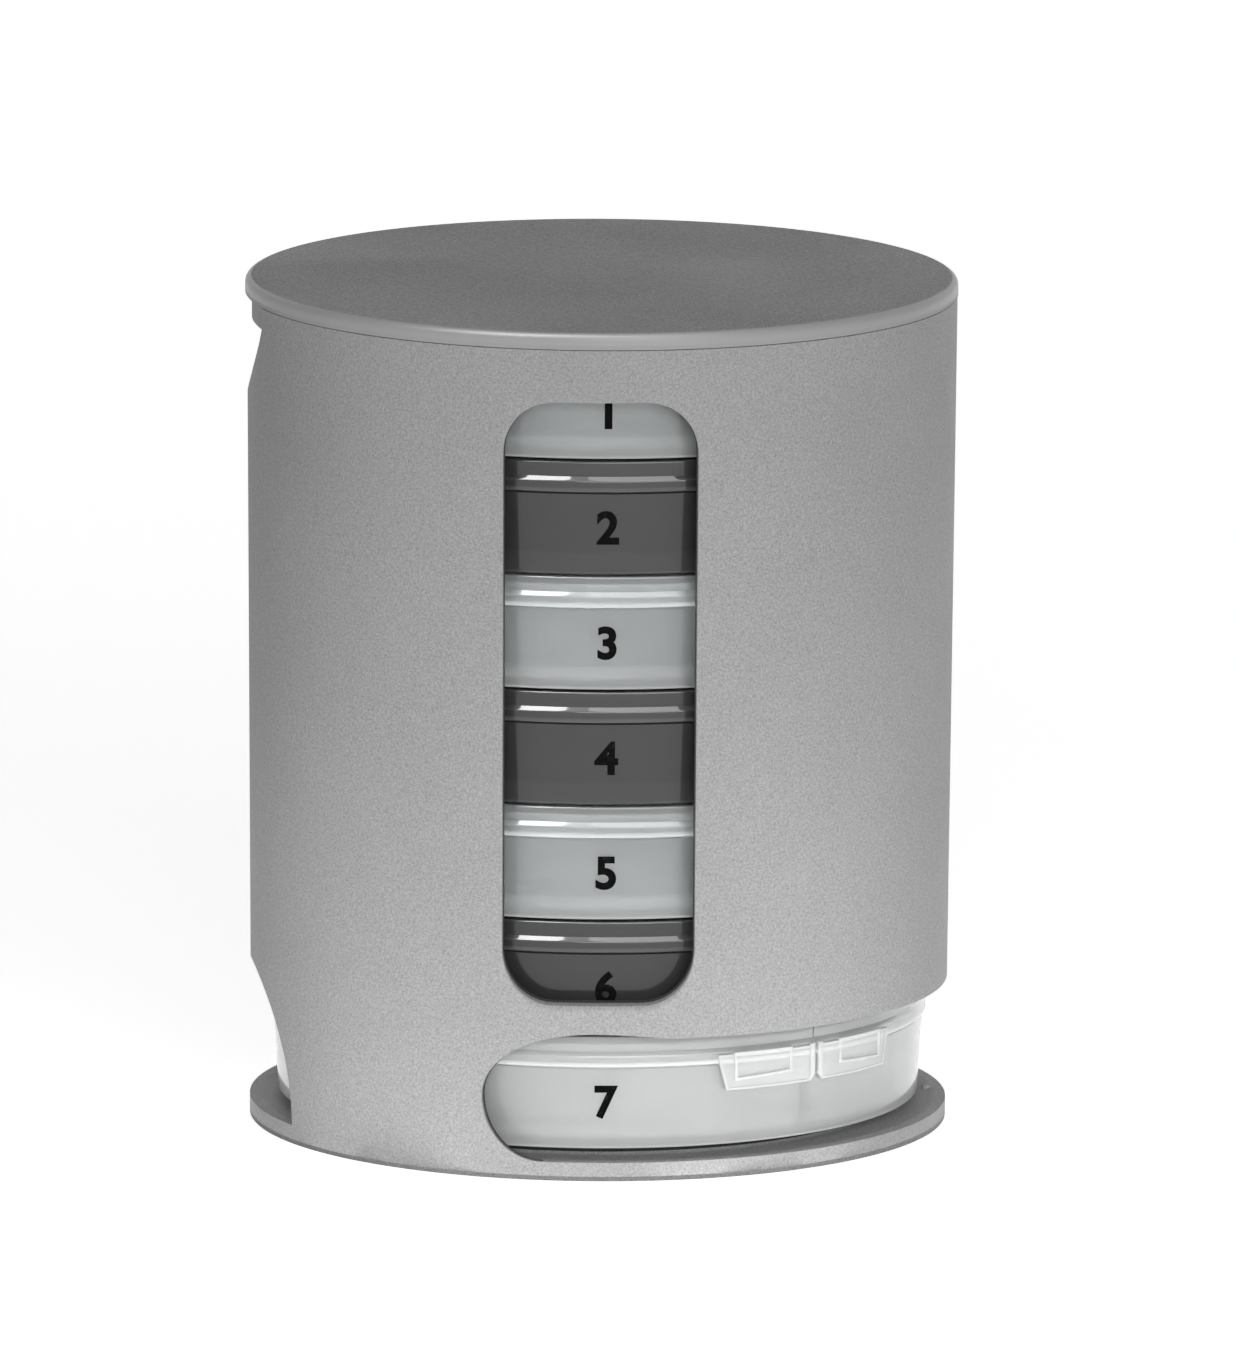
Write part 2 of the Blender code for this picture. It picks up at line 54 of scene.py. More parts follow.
SLICE_ANGLE = 360.0 / FINE_STEPS
WELD = 0.0000005  # corners that are closer than this are one
SMOOTH_LIMIT = 35.0  # degrees; edges that turn further are shaded sharp
CREASE_LIMIT = 40.0  # degrees; edges of a flat plate that turn further are its rims
NOISE_RANGE = (0.3, 0.7)  # where most of a noise pattern lies
PAINTED_DIM_SLOT = 1  # places among the case's materials of the two darker copies of its plastic, which paint shade
PAINTED_SHADE_SLOT = 2
LOG = logging.getLogger("pill_organizer")

Point = tuple[float, float]
Sockets = dict[str | int, NodeSocket]


class Day(Enum):
    """The seven trays, from the top of the stack down, with the number printed on each."""

    SUN = "1"
    MON = "2"
    TUE = "3"
    WED = "4"
    THU = "5"
    FRI = "6"
    SAT = "7"

    @property
    def word(self) -> str:
        """The day as it stands in the names of pieces."""
        return self.name.lower()


class Dose(Enum):
    """The four compartments of a tray: the side of the split, and the turn about the axis."""

    MORNING = (-1, 0.0)
    NOON = (1, 0.0)
    EVENING = (-1, 180.0)
    BEDTIME = (1, 180.0)

    @property
    def word(self) -> str:
        """The dose as it stands in the names of pieces."""
        return self.name.lower()


def srgb(code: str) -> tuple[float, float, float, float]:
    """Turn an sRGB hex colour into the linear values that a shader takes.

    Args:
        code: Six hex digits after a hash sign.

    Returns:
        Linear red, green and blue, and an alpha of one.
    """
    shares = [int(code[place : place + 2], 16) / 255.0 for place in (1, 3, 5)]
    linear = [share / 12.92 if share <= 0.04045 else ((share + 0.055) / 1.055) ** 2.4 for share in shares]
    return (*linear, 1.0)


def around(radius: float, azimuth: float, height: float) -> Vector:
    """A point on a circle round the drum's axis.

    Args:
        radius: Distance from the axis.
        azimuth: Degrees from the front.
        height: Height of the point.

    Returns:
        The point.
    """
    angle = math.radians(azimuth)
    return Vector((radius * math.sin(angle), -radius * math.cos(angle), height))


def arc(centre: Point, radii: Point, start: float, end: float, steps: int) -> list[Point]:
    """Points along an elliptical arc.

    Args:
        centre: The ellipse's centre.
        radii: Its radius along each of the two directions.
        start: Angle of the first point, in degrees.
        end: Angle of the last point, in degrees.
        steps: Number of chords.

    Returns:
        The points, one more than the chords.
    """
    points = []
    for step in range(steps + 1):
        angle = math.radians(start + (end - start) * step / steps)
        points.append((centre[0] + radii[0] * math.cos(angle), centre[1] + radii[1] * math.sin(angle)))
    return points


def mirrored(half: Sequence[Point]) -> list[Point]:
    """Close half an outline with its mirror image.

    Args:
        half: Points on the positive side, in order.

    Returns:
        The points, and then their mirror images in the opposite order.
    """
    return list(half) + [(-across, height) for across, height in reversed(half)]


def sliced(
    shape: BMesh, point: Sequence[float], normal: Sequence[float], clear: bool = False, near: float = 0.0
) -> None:
    """Cut every edge and face of a shape along a plane.

    Args:
        shape: The shape.
        point: A point of the plane.
        normal: The plane's normal.
        clear: Whether what lies on the normal's side goes.
        near: Distance within which a corner counts as on the plane.
    """
    everything = shape.verts[:] + shape.edges[:] + shape.faces[:]
    bmesh.ops.bisect_plane(
        shape, geom=everything, dist=near, plane_co=point, plane_no=normal, clear_outer=clear
    )


def rounded(shape: BMesh, edges: Sequence[BMEdge], offset: float, segments: int, clamp: bool = False) -> None:
    """Round some edges of a shape.

    Args:
        shape: The shape.
        edges: The edges.
        offset: Size of the round.
        segments: Number of flats in it.
        clamp: Whether it stops where it would meet the next edge.
    """
    bmesh.ops.bevel(
        shape,
        geom=edges,
        offset=offset,
        affect="EDGES",
        segments=segments,
        profile=0.5,
        material=-1,
        clamp_overlap=clamp,
    )


def welded(shape: BMesh) -> BMesh:
    """Join a closed shape's corners where they coincide, and face it outwards."""
    bmesh.ops.remove_doubles(shape, verts=shape.verts, dist=WELD)
    bmesh.ops.recalc_face_normals(shape, faces=shape.faces)
    return shape


def spun(profile: Sequence[Point], steps: int = FINE_STEPS) -> BMesh:
    """Spin a half section round the axis into a closed shape.

    Args:
        profile: Points of radius and height, from the axis round to the axis.
        steps: Number of flats in a full turn.

    Returns:
        The closed shape, facing outwards.
    """
    shape = bmesh.new()
    corners = [shape.verts.new((radius, 0.0, height)) for radius, height in profile]
    edges = [shape.edges.new(pair) for pair in zip(corners, corners[1:])]
    bmesh.ops.spin(
        shape,
        geom=corners + edges,
        cent=(0.0, 0.0, 0.0),
        axis=(0.0, 0.0, 1.0),
        angle=math.tau,
        steps=steps,
        use_merge=True,
    )
    return welded(shape)


def trimmed(shape: BMesh, planes: Sequence[tuple[Sequence[float], Sequence[float]]]) -> BMesh:
    """Cut a closed shape by planes and close it again.

    Args:
        shape: The shape to cut.
        planes: A point and a normal for each plane; what lies on the normal's side goes.

    Returns:
        The same shape, trimmed.
    """
    for point, normal in planes:
        sliced(shape, point, normal, clear=True)
        bmesh.ops.holes_fill(shape, edges=[edge for edge in shape.edges if edge.is_boundary])
    return welded(shape)


@dataclass
class CurvedPlate:
    """A plate that is shaped flat, with rounded edges, and then bent round the axis.

    While it is flat, x is the arc length from its middle azimuth, y the depth behind its
    outer face and z the height.
    """

    middle: float
    outline: Sequence[Point]
    thickness: float
    radius: float
    holes: Sequence[Sequence[Point]] = ()
    outer_round: float = 0.0
    inner_round: float = 0.0
    segments: int = 3
    slice_angle: float = SLICE_ANGLE
    slice_near: float = 0.02 * MM
    seam_near: float = 0.002 * MM

    @property
    def arc_length(self) -> float:
        """Arc length of one degree."""
        return math.radians(self.radius)

    def flat(self) -> BMesh:
        """Build the flat plate with its holes.

        Returns:
            A closed plate of even thickness.
        """
        shape = bmesh.new()
        for loop in (self.outline, *self.holes):
            corners = [shape.verts.new((angle * self.arc_length, 0.0, height)) for angle, height in loop]
            for pair in zip(corners, corners[1:] + corners[:1]):
                shape.edges.new(pair)
        bmesh.ops.triangle_fill(
            shape, use_beauty=True, use_dissolve=False, edges=shape.edges[:], normal=(0.0, -1.0, 0.0)
        )
        grown = bmesh.ops.extrude_face_region(shape, geom=shape.faces[:])
        behind = [item for item in grown["geom"] if isinstance(item, BMVert)]
        bmesh.ops.translate(shape, verts=behind, vec=(0.0, self.thickness, 0.0))
        bmesh.ops.recalc_face_normals(shape, faces=shape.faces)
        return shape

    def round_edges(self, shape: BMesh, keep: Callable[[BMEdge], bool]) -> None:
        """Round the edges of the outline and the holes on both faces.

        Args:
            shape: The flat plate.
            keep: Says of an edge whether it may be rounded.
        """
        for depth, offset in ((0.0, self.outer_round), (self.thickness, self.inner_round)):
            if not offset:
                continue
            rims = [
                edge
                for edge in shape.edges
                if all(abs(corner.co.y - depth) < WELD for corner in edge.verts)
                and len(edge.link_faces) == 2
                and edge.calc_face_angle(0.0) > math.radians(CREASE_LIMIT)
                and keep(edge)
            ]
            rounded(shape, rims, offset, self.segments, clamp=True)

    def bend(self, shape: BMesh, radius_at: Callable[[float, float], float]) -> BMesh:
        """Slice the flat plate and bend it round the axis.

        Args:
            shape: The flat plate.
            radius_at: Gives the radius at a height and at a share of the depth.

        Returns:
            The bent shape.
        """
        reach = [corner.co.x / self.arc_length + self.middle for corner in shape.verts]
        first = math.ceil(min(reach) / self.slice_angle)
        last = math.floor(max(reach) / self.slice_angle)
        for number in range(first, last + 1):
            across = (number * self.slice_angle - self.middle) * self.arc_length
            sliced(shape, (across, 0.0, 0.0), (1.0, 0.0, 0.0), near=self.slice_near)
        for corner in shape.verts:
            radius = radius_at(corner.co.z, corner.co.y / self.thickness)
            corner.co = around(radius, self.middle + corner.co.x / self.arc_length, corner.co.z)
        bmesh.ops.remove_doubles(shape, verts=shape.verts, dist=self.seam_near)
        bmesh.ops.recalc_face_normals(shape, faces=shape.faces)
        return shape


def linked(name: str, data: ID) -> Object:
    """Make an object from its data and link it to the scene."""
    thing = bpy.data.objects.new(name, data)
    bpy.context.scene.collection.objects.link(thing)
    return thing


def shade(mesh: Mesh) -> None:
    """Shade a mesh smooth, apart from its sharp edges."""
    mesh.shade_smooth()
    mesh.set_sharp_from_angle(angle=math.radians(SMOOTH_LIMIT))


def evaluated_mesh(thing: Object) -> Mesh:
    """Make the mesh that an object's modifiers or its letters come to."""
    bpy.context.view_layer.update()
    return bpy.data.meshes.new_from_object(thing.evaluated_get(bpy.context.evaluated_depsgraph_get()))


def object_from(shape: BMesh, name: str) -> Object:
    """Put a shape in the scene as a smooth-shaded object.

    Args:
        shape: The shape, which is freed.
        name: Name of the object.

    Returns:
        The object, at the origin.
    """
    mesh = bpy.data.meshes.new(name)
    shape.to_mesh(mesh)
    shape.free()
    shade(mesh)
    return linked(name, mesh)


def worked(piece: Object, others: Sequence[Object], operation: str) -> Object:
    """Cut a piece by other solids, or join them to it, and keep the result as its mesh.

    Args:
        piece: The piece to change.
        others: The solids, which are removed afterwards.
        operation: The kind of Boolean.

    Returns:
        The same piece.
    """
    for other in others:
        change = piece.modifiers.new(other.name, "BOOLEAN")
        change.operation = operation
        change.solver = "EXACT"
        change.object = other
    mesh = evaluated_mesh(piece)
    mesh.name = piece.name
    piece.modifiers.clear()
    piece.data = mesh
    shade(mesh)
    for other in others:
        bpy.data.objects.remove(other, do_unlink=True)
    return piece


def even_normals(piece: Object) -> None:
    """Let the large faces lead the shading, so that small rounded edges read as rounds."""
    weigh = piece.modifiers.new("even_normals", "WEIGHTED_NORMAL")
    weigh.keep_sharp = True
    weigh.weight = 60


def placed_copy(source: Mesh, name: str, place: Matrix, flip: bool = False) -> Object:
    """Make an object from a copy of a mesh, with its place in the mesh.

    Args:
        source: The mesh to copy.
        name: Name of the new object.
        place: Where the copy goes.
        flip: Whether the place mirrors it, so that its faces have to be turned.

    Returns:
        The new object, at the origin.
    """
    mesh = source.copy()
    mesh.name = name
    mesh.transform(place)
    if flip:
        mesh.flip_normals()
    return linked(name, mesh)


def add_node(tree: NodeTree, kind: str, settings: dict[str | int, object], links: Sockets) -> Node:
    """Add a node to a material's tree.

    Args:
        tree: The node tree.
        kind: The node's type name.
        settings: Property names and values, and input names or numbers and values.
        links: Input names or numbers, each with the output socket that feeds it.

    Returns:
        The new node.
    """
    node = tree.nodes.new(kind)
    for name, value in settings.items():
        if isinstance(name, int) or name in node.inputs:
            node.inputs[name].default_value = value
        else:
            setattr(node, name, value)
    for name, socket in links.items():
        tree.links.new(socket, node.inputs[name])
    return node


def calculated(
    tree: NodeTree, operation: str, first: NodeSocket, second: NodeSocket | float = 0.0
) -> NodeSocket:
    """Work out one value from two.

    Args:
        tree: The node tree.
        operation: Name of the sum or comparison.
        first: The first value.
        second: The second value, as a socket or a number.

    Returns:
        The socket with the result.
    """
    settings, links = {"operation": operation}, {0: first}
    if isinstance(second, NodeSocket):
        links[1] = second
    else:
        settings[1] = second
    return add_node(tree, "ShaderNodeMath", settings, links).outputs["Value"]


def mapped(
    tree: NodeTree, value: NodeSocket, low: float, high: float, source: Point = (0.0, 1.0)
) -> NodeSocket:
    """Spread a value over another range.

    Args:
        tree: The node tree.
        value: The value.
        low: What the source range's lower end becomes.
        high: What its upper end becomes.
        source: The range that the value is in.

    Returns:
        The socket with the result.
    """
    ends = {"From Min": source[0], "From Max": source[1], "To Min": low, "To Max": high}
    return add_node(tree, "ShaderNodeMapRange", ends, {"Value": value}).outputs["Result"]


def mixed(tree: NodeTree, factor: NodeSocket, first: NodeSocket, second: float) -> NodeSocket:
    """Go over from a varying value to a fixed one as the factor goes from 0 to 1."""
    return add_node(tree, "ShaderNodeMix", {"B": second}, {"Factor": factor, "A": first}).outputs["Result"]


def blended(tree: NodeTree, factor: NodeSocket, first: str, second: str) -> NodeSocket:
    """Go over from one sRGB colour to another as the factor goes from 0 to 1."""
    settings = {"data_type": "RGBA", 6: srgb(first), 7: srgb(second)}
    return add_node(tree, "ShaderNodeMix", settings, {0: factor}).outputs[2]


def noise(tree: NodeTree, place: NodeSocket, size: float, detail: float, roughness: float = 0.5) -> NodeSocket:
    """Add a noise pattern.

    Args:
        tree: The node tree.
        place: Coordinates in the object.
        size: Real size of the pattern's largest features.
        detail: Number of finer layers.
        roughness: How strong the finer layers are.

    Returns:
        The socket with the pattern.
    """
    settings = {"Scale": 1.0 / size, "Detail": detail, "Roughness": roughness}
    return add_node(tree, "ShaderNodeTexNoise", settings, {"Vector": place}).outputs["Fac"]


def bumped(tree: NodeTree, height: NodeSocket, strength: float, distance: float) -> NodeSocket:
    """Turn a pattern into relief that is as deep as the distance."""
    settings = {"Strength": strength, "Distance": distance}
    return add_node(tree, "ShaderNodeBump", settings, {"Height": height}).outputs["Normal"]


def height_of(tree: NodeTree, place: NodeSocket) -> NodeSocket:
    """Pick the height out of a spot's coordinates."""
    return add_node(tree, "ShaderNodeSeparateXYZ", {}, {"Vector": place}).outputs["Z"]


def seen_directly(tree: NodeTree) -> NodeSocket:
    """Tell the rays that see a background from those that only gather its light.

    Args:
        tree: The tree of the background's material or of the world.

    Returns:
        A socket that is 1 for camera, glossy and transmission rays, and 0 for others.
    """
    ray = add_node(tree, "ShaderNodeLightPath", {}, {})
    either = calculated(tree, "MAXIMUM", ray.outputs["Is Camera Ray"], ray.outputs["Is Glossy Ray"])
    return calculated(tree, "MAXIMUM", either, ray.outputs["Is Transmission Ray"])


def new_tree(name: str) -> tuple[Material, NodeTree, NodeSocket]:
    """Start a material with a tree that holds only the coordinates in the object."""
    material = bpy.data.materials.new(name)
    material.use_nodes = True
    material.node_tree.nodes.clear()
    place = add_node(material.node_tree, "ShaderNodeTexCoord", {}, {}).outputs["Object"]
    return material, material.node_tree, place


def end_tree(tree: NodeTree, settings: dict[str | int, object], links: Sockets) -> None:
    """Add the shader of a solid material and lead it to the surface."""
    shader = add_node(tree, "ShaderNodeBsdfPrincipled", settings, links)
    add_node(tree, "ShaderNodeOutputMaterial", {}, {"Surface": shader.outputs["BSDF"]})


@dataclass(frozen=True)
class MouldedAbs:
    """Injection-moulded ABS with a fine spark-eroded texture: satin, with a soft broad sheen."""

    name: str = "moulded_abs"
    colour: str = "#B4B4B4"
    shade: str = "#ABABAB"
    roughness: float = 0.6
    unevenness: float = 0.06
    grain: float = 0.32 * MM  # the real texture is about 0.1 mm; drawn coarser, so that it shows
    cloud: float = 30 * MM
    speckle: float = 0.25
    relief: float = 0.012 * MM
    sheen: float = 0.12
    polished: Point = (1.0, 1.0)  # heights between which the tool is polished
    polish: float = 0.42
    polished_sheen: float = 0.45
    plain_below: float = -1.0  # height below which the texture shows no specks

    def material(self) -> Material:
        """Build the finish.

        Returns:
            The material.
        """
        material, tree, place = new_tree(self.name)
        grain = noise(tree, place, self.grain, 3.0, 0.6)
        cloud = noise(tree, place, self.cloud, 2.0)
        tint = blended(tree, cloud, self.colour, self.shade)
        smooth, coarse = self.roughness - self.unevenness, self.roughness + self.unevenness
        rough = mapped(tree, cloud, smooth, coarse, NOISE_RANGE)
        light = mapped(tree, grain, 1 - self.speckle, 1 + self.speckle, NOISE_RANGE)
        height = height_of(tree, place)
        above = calculated(tree, "GREATER_THAN", height, self.polished[0])
        below = calculated(tree, "LESS_THAN", height, self.polished[1])
        edge = calculated(tree, "MULTIPLY", above, below)
        even = mixed(tree, calculated(tree, "LESS_THAN", height, self.plain_below), light, 1.0)
        speckled = add_node(tree, "ShaderNodeHueSaturation", {}, {"Color": tint, "Value": even})
        end_tree(
            tree,
            {"IOR": 1.53},
            {
                "Base Color": speckled.outputs["Color"],
                "Roughness": mixed(tree, edge, rough, self.polish),
                "Specular IOR Level": mapped(tree, edge, self.sheen, self.polished_sheen),
                "Normal": bumped(tree, grain, 0.6, self.relief),
            },
        )
        return material


@dataclass(frozen=True)
class MouldedPolypropylene:
    """Injection-moulded polypropylene, milky in itself and glossy where the tool was polished.

    Light goes into it and is scattered, so that what is behind it shows only as a soft shade.
    """

    name: str
    colour: str
    clarity: float
    milkiness: float
    # Colour and clarity of thicker plastic, also used to paint highlight bands along the skirt's foot and the
    # ledge.
    thick_and_highlight_colour: str
    thick_and_highlight_clarity: float
    stack: "Stack"
    depth: float = 1.5 * MM
    roughness: float = 0.42
    gloss: float = 0.05
    flow: float = 14 * MM
    ripple: float = 0.02 * MM

    def material(self) -> Material:
        """Build the finish.

        Returns:
            The material.
        """
        material, tree, place = new_tree(self.name)
        flow = noise(tree, place, self.flow, 3.0)
        thick_and_highlit = self.thick_and_highlit_places(tree, place)
        base = blended(tree, thick_and_highlit, self.colour, self.thick_and_highlight_colour)
        value = mapped(tree, flow, 0.95, 1.04, NOISE_RANGE)
        tint = add_node(tree, "ShaderNodeHueSaturation", {}, {"Color": base, "Value": value})
        ripple = bumped(tree, flow, 0.25, self.ripple)
        end_tree(
            tree,
            {
                "IOR": 1.49,
                "Roughness": self.roughness,
                "Subsurface Weight": self.milkiness,
                "Subsurface Radius": (1.0, 1.0, 1.0),
                "Subsurface Scale": self.depth,
                "Specular IOR Level": 0.2,
                "Coat Weight": 1.0,
                "Coat Roughness": self.gloss,
                "Coat IOR": 1.49,
            },
            {
                "Base Color": tint.outputs["Color"],
                "Transmission Weight": mapped(tree, thick_and_highlit, self.clarity, self.thick_and_highlight_clarity),
                "Normal": ripple,
                "Coat Normal": ripple,
            },
        )
        return material

    def thick_and_highlit_places(self, tree: NodeTree, place: NodeSocket) -> NodeSocket:
        """Find where a tray's plastic is drawn whiter and less clear: round its floor, where it is thicker,
        and in painted highlight bands along the foot of its skirt and the ledge of its shoulder.

        Args:
            tree: The material's tree.
            place: Coordinates in the object.

        Returns:
            A socket that is 0 in thin plastic and up to 1 in thicker plastic and in the painted highlight
            bands.
        """
        above = calculated(tree, "SUBTRACT", height_of(tree, place), self.stack.foot)
        turn = calculated(tree, "FRACT", calculated(tree, "DIVIDE", above, self.stack.pitch))
        ramp = add_node(tree, "ShaderNodeValToRGB", {}, {"Fac": turn})
        spots = self.stack.thickness_and_highlight_spots
        for spot in spots[2:]:
            ramp.color_ramp.elements.new(spot[0] / self.stack.pitch)
        for element, (rise, thickness) in zip(ramp.color_ramp.elements, spots):
            element.position = rise / self.stack.pitch
            element.color = (thickness, thickness, thickness, 1.0)
        return ramp.outputs["Color"]


@dataclass(frozen=True)
class PrintedInk:
    """Pad-printed ink: a thin dead-black film, a little greyer where it is rubbed."""

    name: str = "black_printing_ink"
    colour: str = "#080808"
    rubbed: str = "#262627"
    patch: float = 0.9 * MM
    wear_from: float = 0.55
    wear_to: float = 0.75

    def material(self) -> Material:
        """Build the finish.

        Returns:
            The material.
        """
        material, tree, place = new_tree(self.name)
        wear = noise(tree, place, self.patch, 4.0)
        ramp = add_node(tree, "ShaderNodeValToRGB", {}, {"Fac": wear})
        stops = ((self.wear_from, self.colour), (self.wear_to, self.rubbed))
        for element, (position, code) in zip(ramp.color_ramp.elements, stops):
            element.position = position
            element.color = srgb(code)
        settings = {"Roughness": 0.7, "IOR": 1.5, "Specular IOR Level": 0.05}
        end_tree(tree, settings, {"Base Color": ramp.outputs["Color"]})
        return material


@dataclass(frozen=True)
class StudioPaper:
    """White background paper: matte, and white to the eye away from the object's shadow."""

    name: str = "studio_paper"
    colour: str = "#F0F0F0"
    lift: float = 0.8

    def material(self) -> Material:
        """Build the finish.

        Returns:
            The material.
        """
        material, tree, _ = new_tree(self.name)
        matte = add_node(tree, "ShaderNodeBsdfDiffuse", {"Color": srgb(self.colour)}, {})
        nothing, glow = (
            add_node(tree, "ShaderNodeEmission", {"Strength": strength}, {}).outputs["Emission"]
            for strength in (0.0, self.lift)
        )
        extra = add_node(tree, "ShaderNodeMixShader", {}, {"Fac": seen_directly(tree), 1: nothing, 2: glow})
        both = add_node(
            tree, "ShaderNodeAddShader", {}, {0: matte.outputs["BSDF"], 1: extra.outputs["Shader"]}
        )
        add_node(tree, "ShaderNodeOutputMaterial", {}, {"Surface": both.outputs["Shader"]})
        return material


@dataclass
class CaseFaceAndPaintedShades:
    """The case's plastic, and two darker copies of it that paint shade on the deep edges of openings, which
    lie in the trays' shade, and on the platform's side.
    """

    face: Material
    dim: Material
    shaded: Material


def dress(piece: Object, material: Material, body: str) -> None:
    """Give a piece its finish and its place among the moving bodies.

    Args:
        piece: The piece.
        material: Its finish.
        body: The body that it rides on.
    """
    piece.data.materials.clear()
    piece.data.materials.append(material)
    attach(piece, body)


@dataclass
class Stack:
    """Sizes that the case, the lid and the trays share."""

    seat_gap: float = 0.3 * MM
    curb: float = 3.0 * MM
    platform: float = 1.1 * MM
    tray_height: float = 18.35 * MM
    bore: float = 54.6 * MM
    wall: float = 1.8 * MM
    draft: float = 1.0 * MM
    # How much whiter and less clear each height of a tray is drawn: thicker plastic low down, painted
    # highlight bands above.
    thickness_and_highlight_spots: tuple[Point, ...] = (
        (0.0 * MM, 0.9),
        (0.25 * MM, 0.9),
        (0.5 * MM, 0.25),
        (3.2 * MM, 0.15),
        (4.0 * MM, 0.0),
        (13.4 * MM, 0.0),
        (13.5 * MM, 0.85),
        (13.95 * MM, 0.75),
        (14.3 * MM, 0.0),
        (15.2 * MM, 0.0),
        (15.3 * MM, 0.45),
        (15.6 * MM, 0.0),
    )

    @property
    def pitch(self) -> float:
        """Height from one tray to the next."""
        return self.tray_height + self.seat_gap

    @property
    def foot(self) -> float:
        """Height of the lowest tray's underside."""
        return self.curb + self.platform + self.seat_gap

    @property
    def top(self) -> float:
        """Height of the highest tray's top, where the wall ends too."""
        return self.foot + len(Day) * self.pitch - self.seat_gap

    @property
    def slot_top(self) -> float:
        """Height of the flat upper edge of the exit slot."""
        return self.foot + self.tray_height + self.seat_gap

    def level(self, day: Day) -> float:
        """Height of a day tray's underside."""
        return self.foot + self.pitch * (len(Day) - int(day.value))


@dataclass
class Case:
    """The drum: one moulding of wall, floor and platform, with its three openings.

    Its outlines are in degrees from the middle of the way out, and in heights.
    """

    stack: Stack
    exit_azimuth: float = 65.0
    floor_drop: float = 0.6 * MM
    floor_sheet: float = 1.6 * MM
    foot_width: float = 4.0 * MM
    foot_round: float = 0.3 * MM
    foot_chamfer: float = 0.05 * MM
    platform_radius: float = 46.95 * MM
    platform_round: float = 0.5 * MM
    platform_fillet: float = 0.5 * MM
    rabbet_depth: float = 4.4 * MM
    rabbet_wall: float = 0.7 * MM
    rabbet_slope: float = 0.03 * MM
    window_half: float = 15.75
    window_corner: float = 8.4 * MM
    window_rise: float = 5.3 * MM
    window_drop: float = 8.4 * MM
    window_pull: float = 1.008
    sill: float = 1.6 * MM
    sill_rings: int = 8
    # Shares of the wall's depth from which an opening's edge gets the painted shade, half and then full.
    dim_from: float = 0.2
    shaded_from: float = 0.45
    crest_rise: float = 0.85 * MM
    slot_half: float = 84.2
    slot_crest: float = 66.0
    slot_flat: float = 53.4
    slot_toe: float = 74.0
    rear_half: float = 31.2
    rear_top_half: float = 43.2
    rear_foot_half: float = 54.3
    rear_foot: float = 23.5 * MM
    rear_edge: float = 3.4 * MM
    rear_flare: float = 11.8 * MM
    rear_flare_shares: tuple[Point, ...] = (
        (1.0, 0.0),
        (0.89, 0.18),
        (0.74, 0.37),
        (0.55, 0.57),
        (0.33, 0.77),
        (0.0, 1.0),
    )
    seam: float = 179.99
    edge_round: float = 0.35 * MM
    edge_inner_share: float = 0.6
    curb_round: float = 1.1 * MM
    curb_inner_round: float = 0.3 * MM
    curb_sweep: float = 2.4 * MM
    sweep_steps: int = 12
    sweep_gap: float = 0.005 * MM
    window_round: float = 0.15 * MM
    nub_radius: float = 1.3 * MM
    nub_rise: float = 0.95 * MM
    nub_flare: float = 0.35 * MM
    nub_sink: float = 0.2 * MM
    nub_angle: float = 32.0
    nub_inset: float = 0.6 * MM
    margin_angle: float = 1.0
    margin: float = 0.1 * MM
    curb_margin: float = 0.02 * MM

    @property
    def floor(self) -> float:
        """Height of the floor round the platform."""
        return self.stack.curb - self.floor_drop

    @property
    def crest(self) -> float:
        """Height of the humps at the ends of the exit slot."""
        return self.stack.slot_top + self.crest_rise

    @property
    def window_low(self) -> float:
        """Height of the window's lower edge."""
        return self.crest + self.window_rise

    @property
    def window_high(self) -> float:
        """Height of the window's upper edge."""
        return self.stack.top - self.window_drop

    def inner(self, height: float) -> float:
        """Radius of the bore at a height."""
        return self.stack.bore + self.stack.draft * height / self.stack.top

    def outer(self, height: float) -> float:
        """Radius of the outside at a height."""
        return self.inner(height) + self.stack.wall

    def window(self) -> list[Point]:
        """Outline of the front window."""
        corner = math.degrees(self.window_corner / self.outer(self.stack.top))
        across = self.window_half - corner
        radii = (corner, self.window_corner)
        half = arc((across, self.window_high - self.window_corner), radii, 90.0, 0.0, 14)
        half += arc((across, self.window_low + self.window_corner), radii, 0.0, -90.0, 14)
        return [(angle - self.exit_azimuth, height) for angle, height in mirrored(half)]

    def exit_slot(self) -> list[Point]:
        """Outline of the exit slot, with a low hump before each end."""
        half = []
        steps = 12
        for step in range(steps):
            share = step / steps
            angle = self.slot_flat + (self.slot_crest - self.slot_flat) * share
            half.append((angle, self.stack.slot_top + self.crest_rise * (1 - (1 - share) ** 2)))
        middle = (self.stack.curb + self.crest) / 2
        upper = (self.slot_half - self.slot_crest, self.crest - middle)
        lower = (self.slot_half - self.slot_toe, middle - self.stack.curb)
        half += arc((self.slot_crest, middle), upper, 90.0, 0.0, 16)
        half += arc((self.slot_toe, middle), lower, 0.0, -90.0, 14)[1:]
        return mirrored(half)

    def rear_half_outline(self) -> list[Point]:
        """Right half of the rear opening's edge, in degrees from its middle, from the rim to the curb."""
        top = self.stack.top
        half = [(self.rear_top_half, top)]
        for across, down in self.rear_flare_shares:
            angle = self.rear_half + (self.rear_top_half - self.rear_half) * across
            half.append((angle, top - self.rear_edge - self.rear_flare * down))
        radii = (self.rear_foot_half - self.rear_half, self.rear_foot)
        return half + arc((self.rear_half, self.stack.curb), radii, 90.0, 0.0, 20)

    def wall_outline(self) -> list[Point]:
        """Outline of the wall unrolled, with its seam in the middle of the rear opening."""
        right = [(180.0 - angle, height) for angle, height in reversed(self.rear_half_outline())]
        return mirrored([(180.0, 0.0), (180.0, self.stack.curb)] + right)

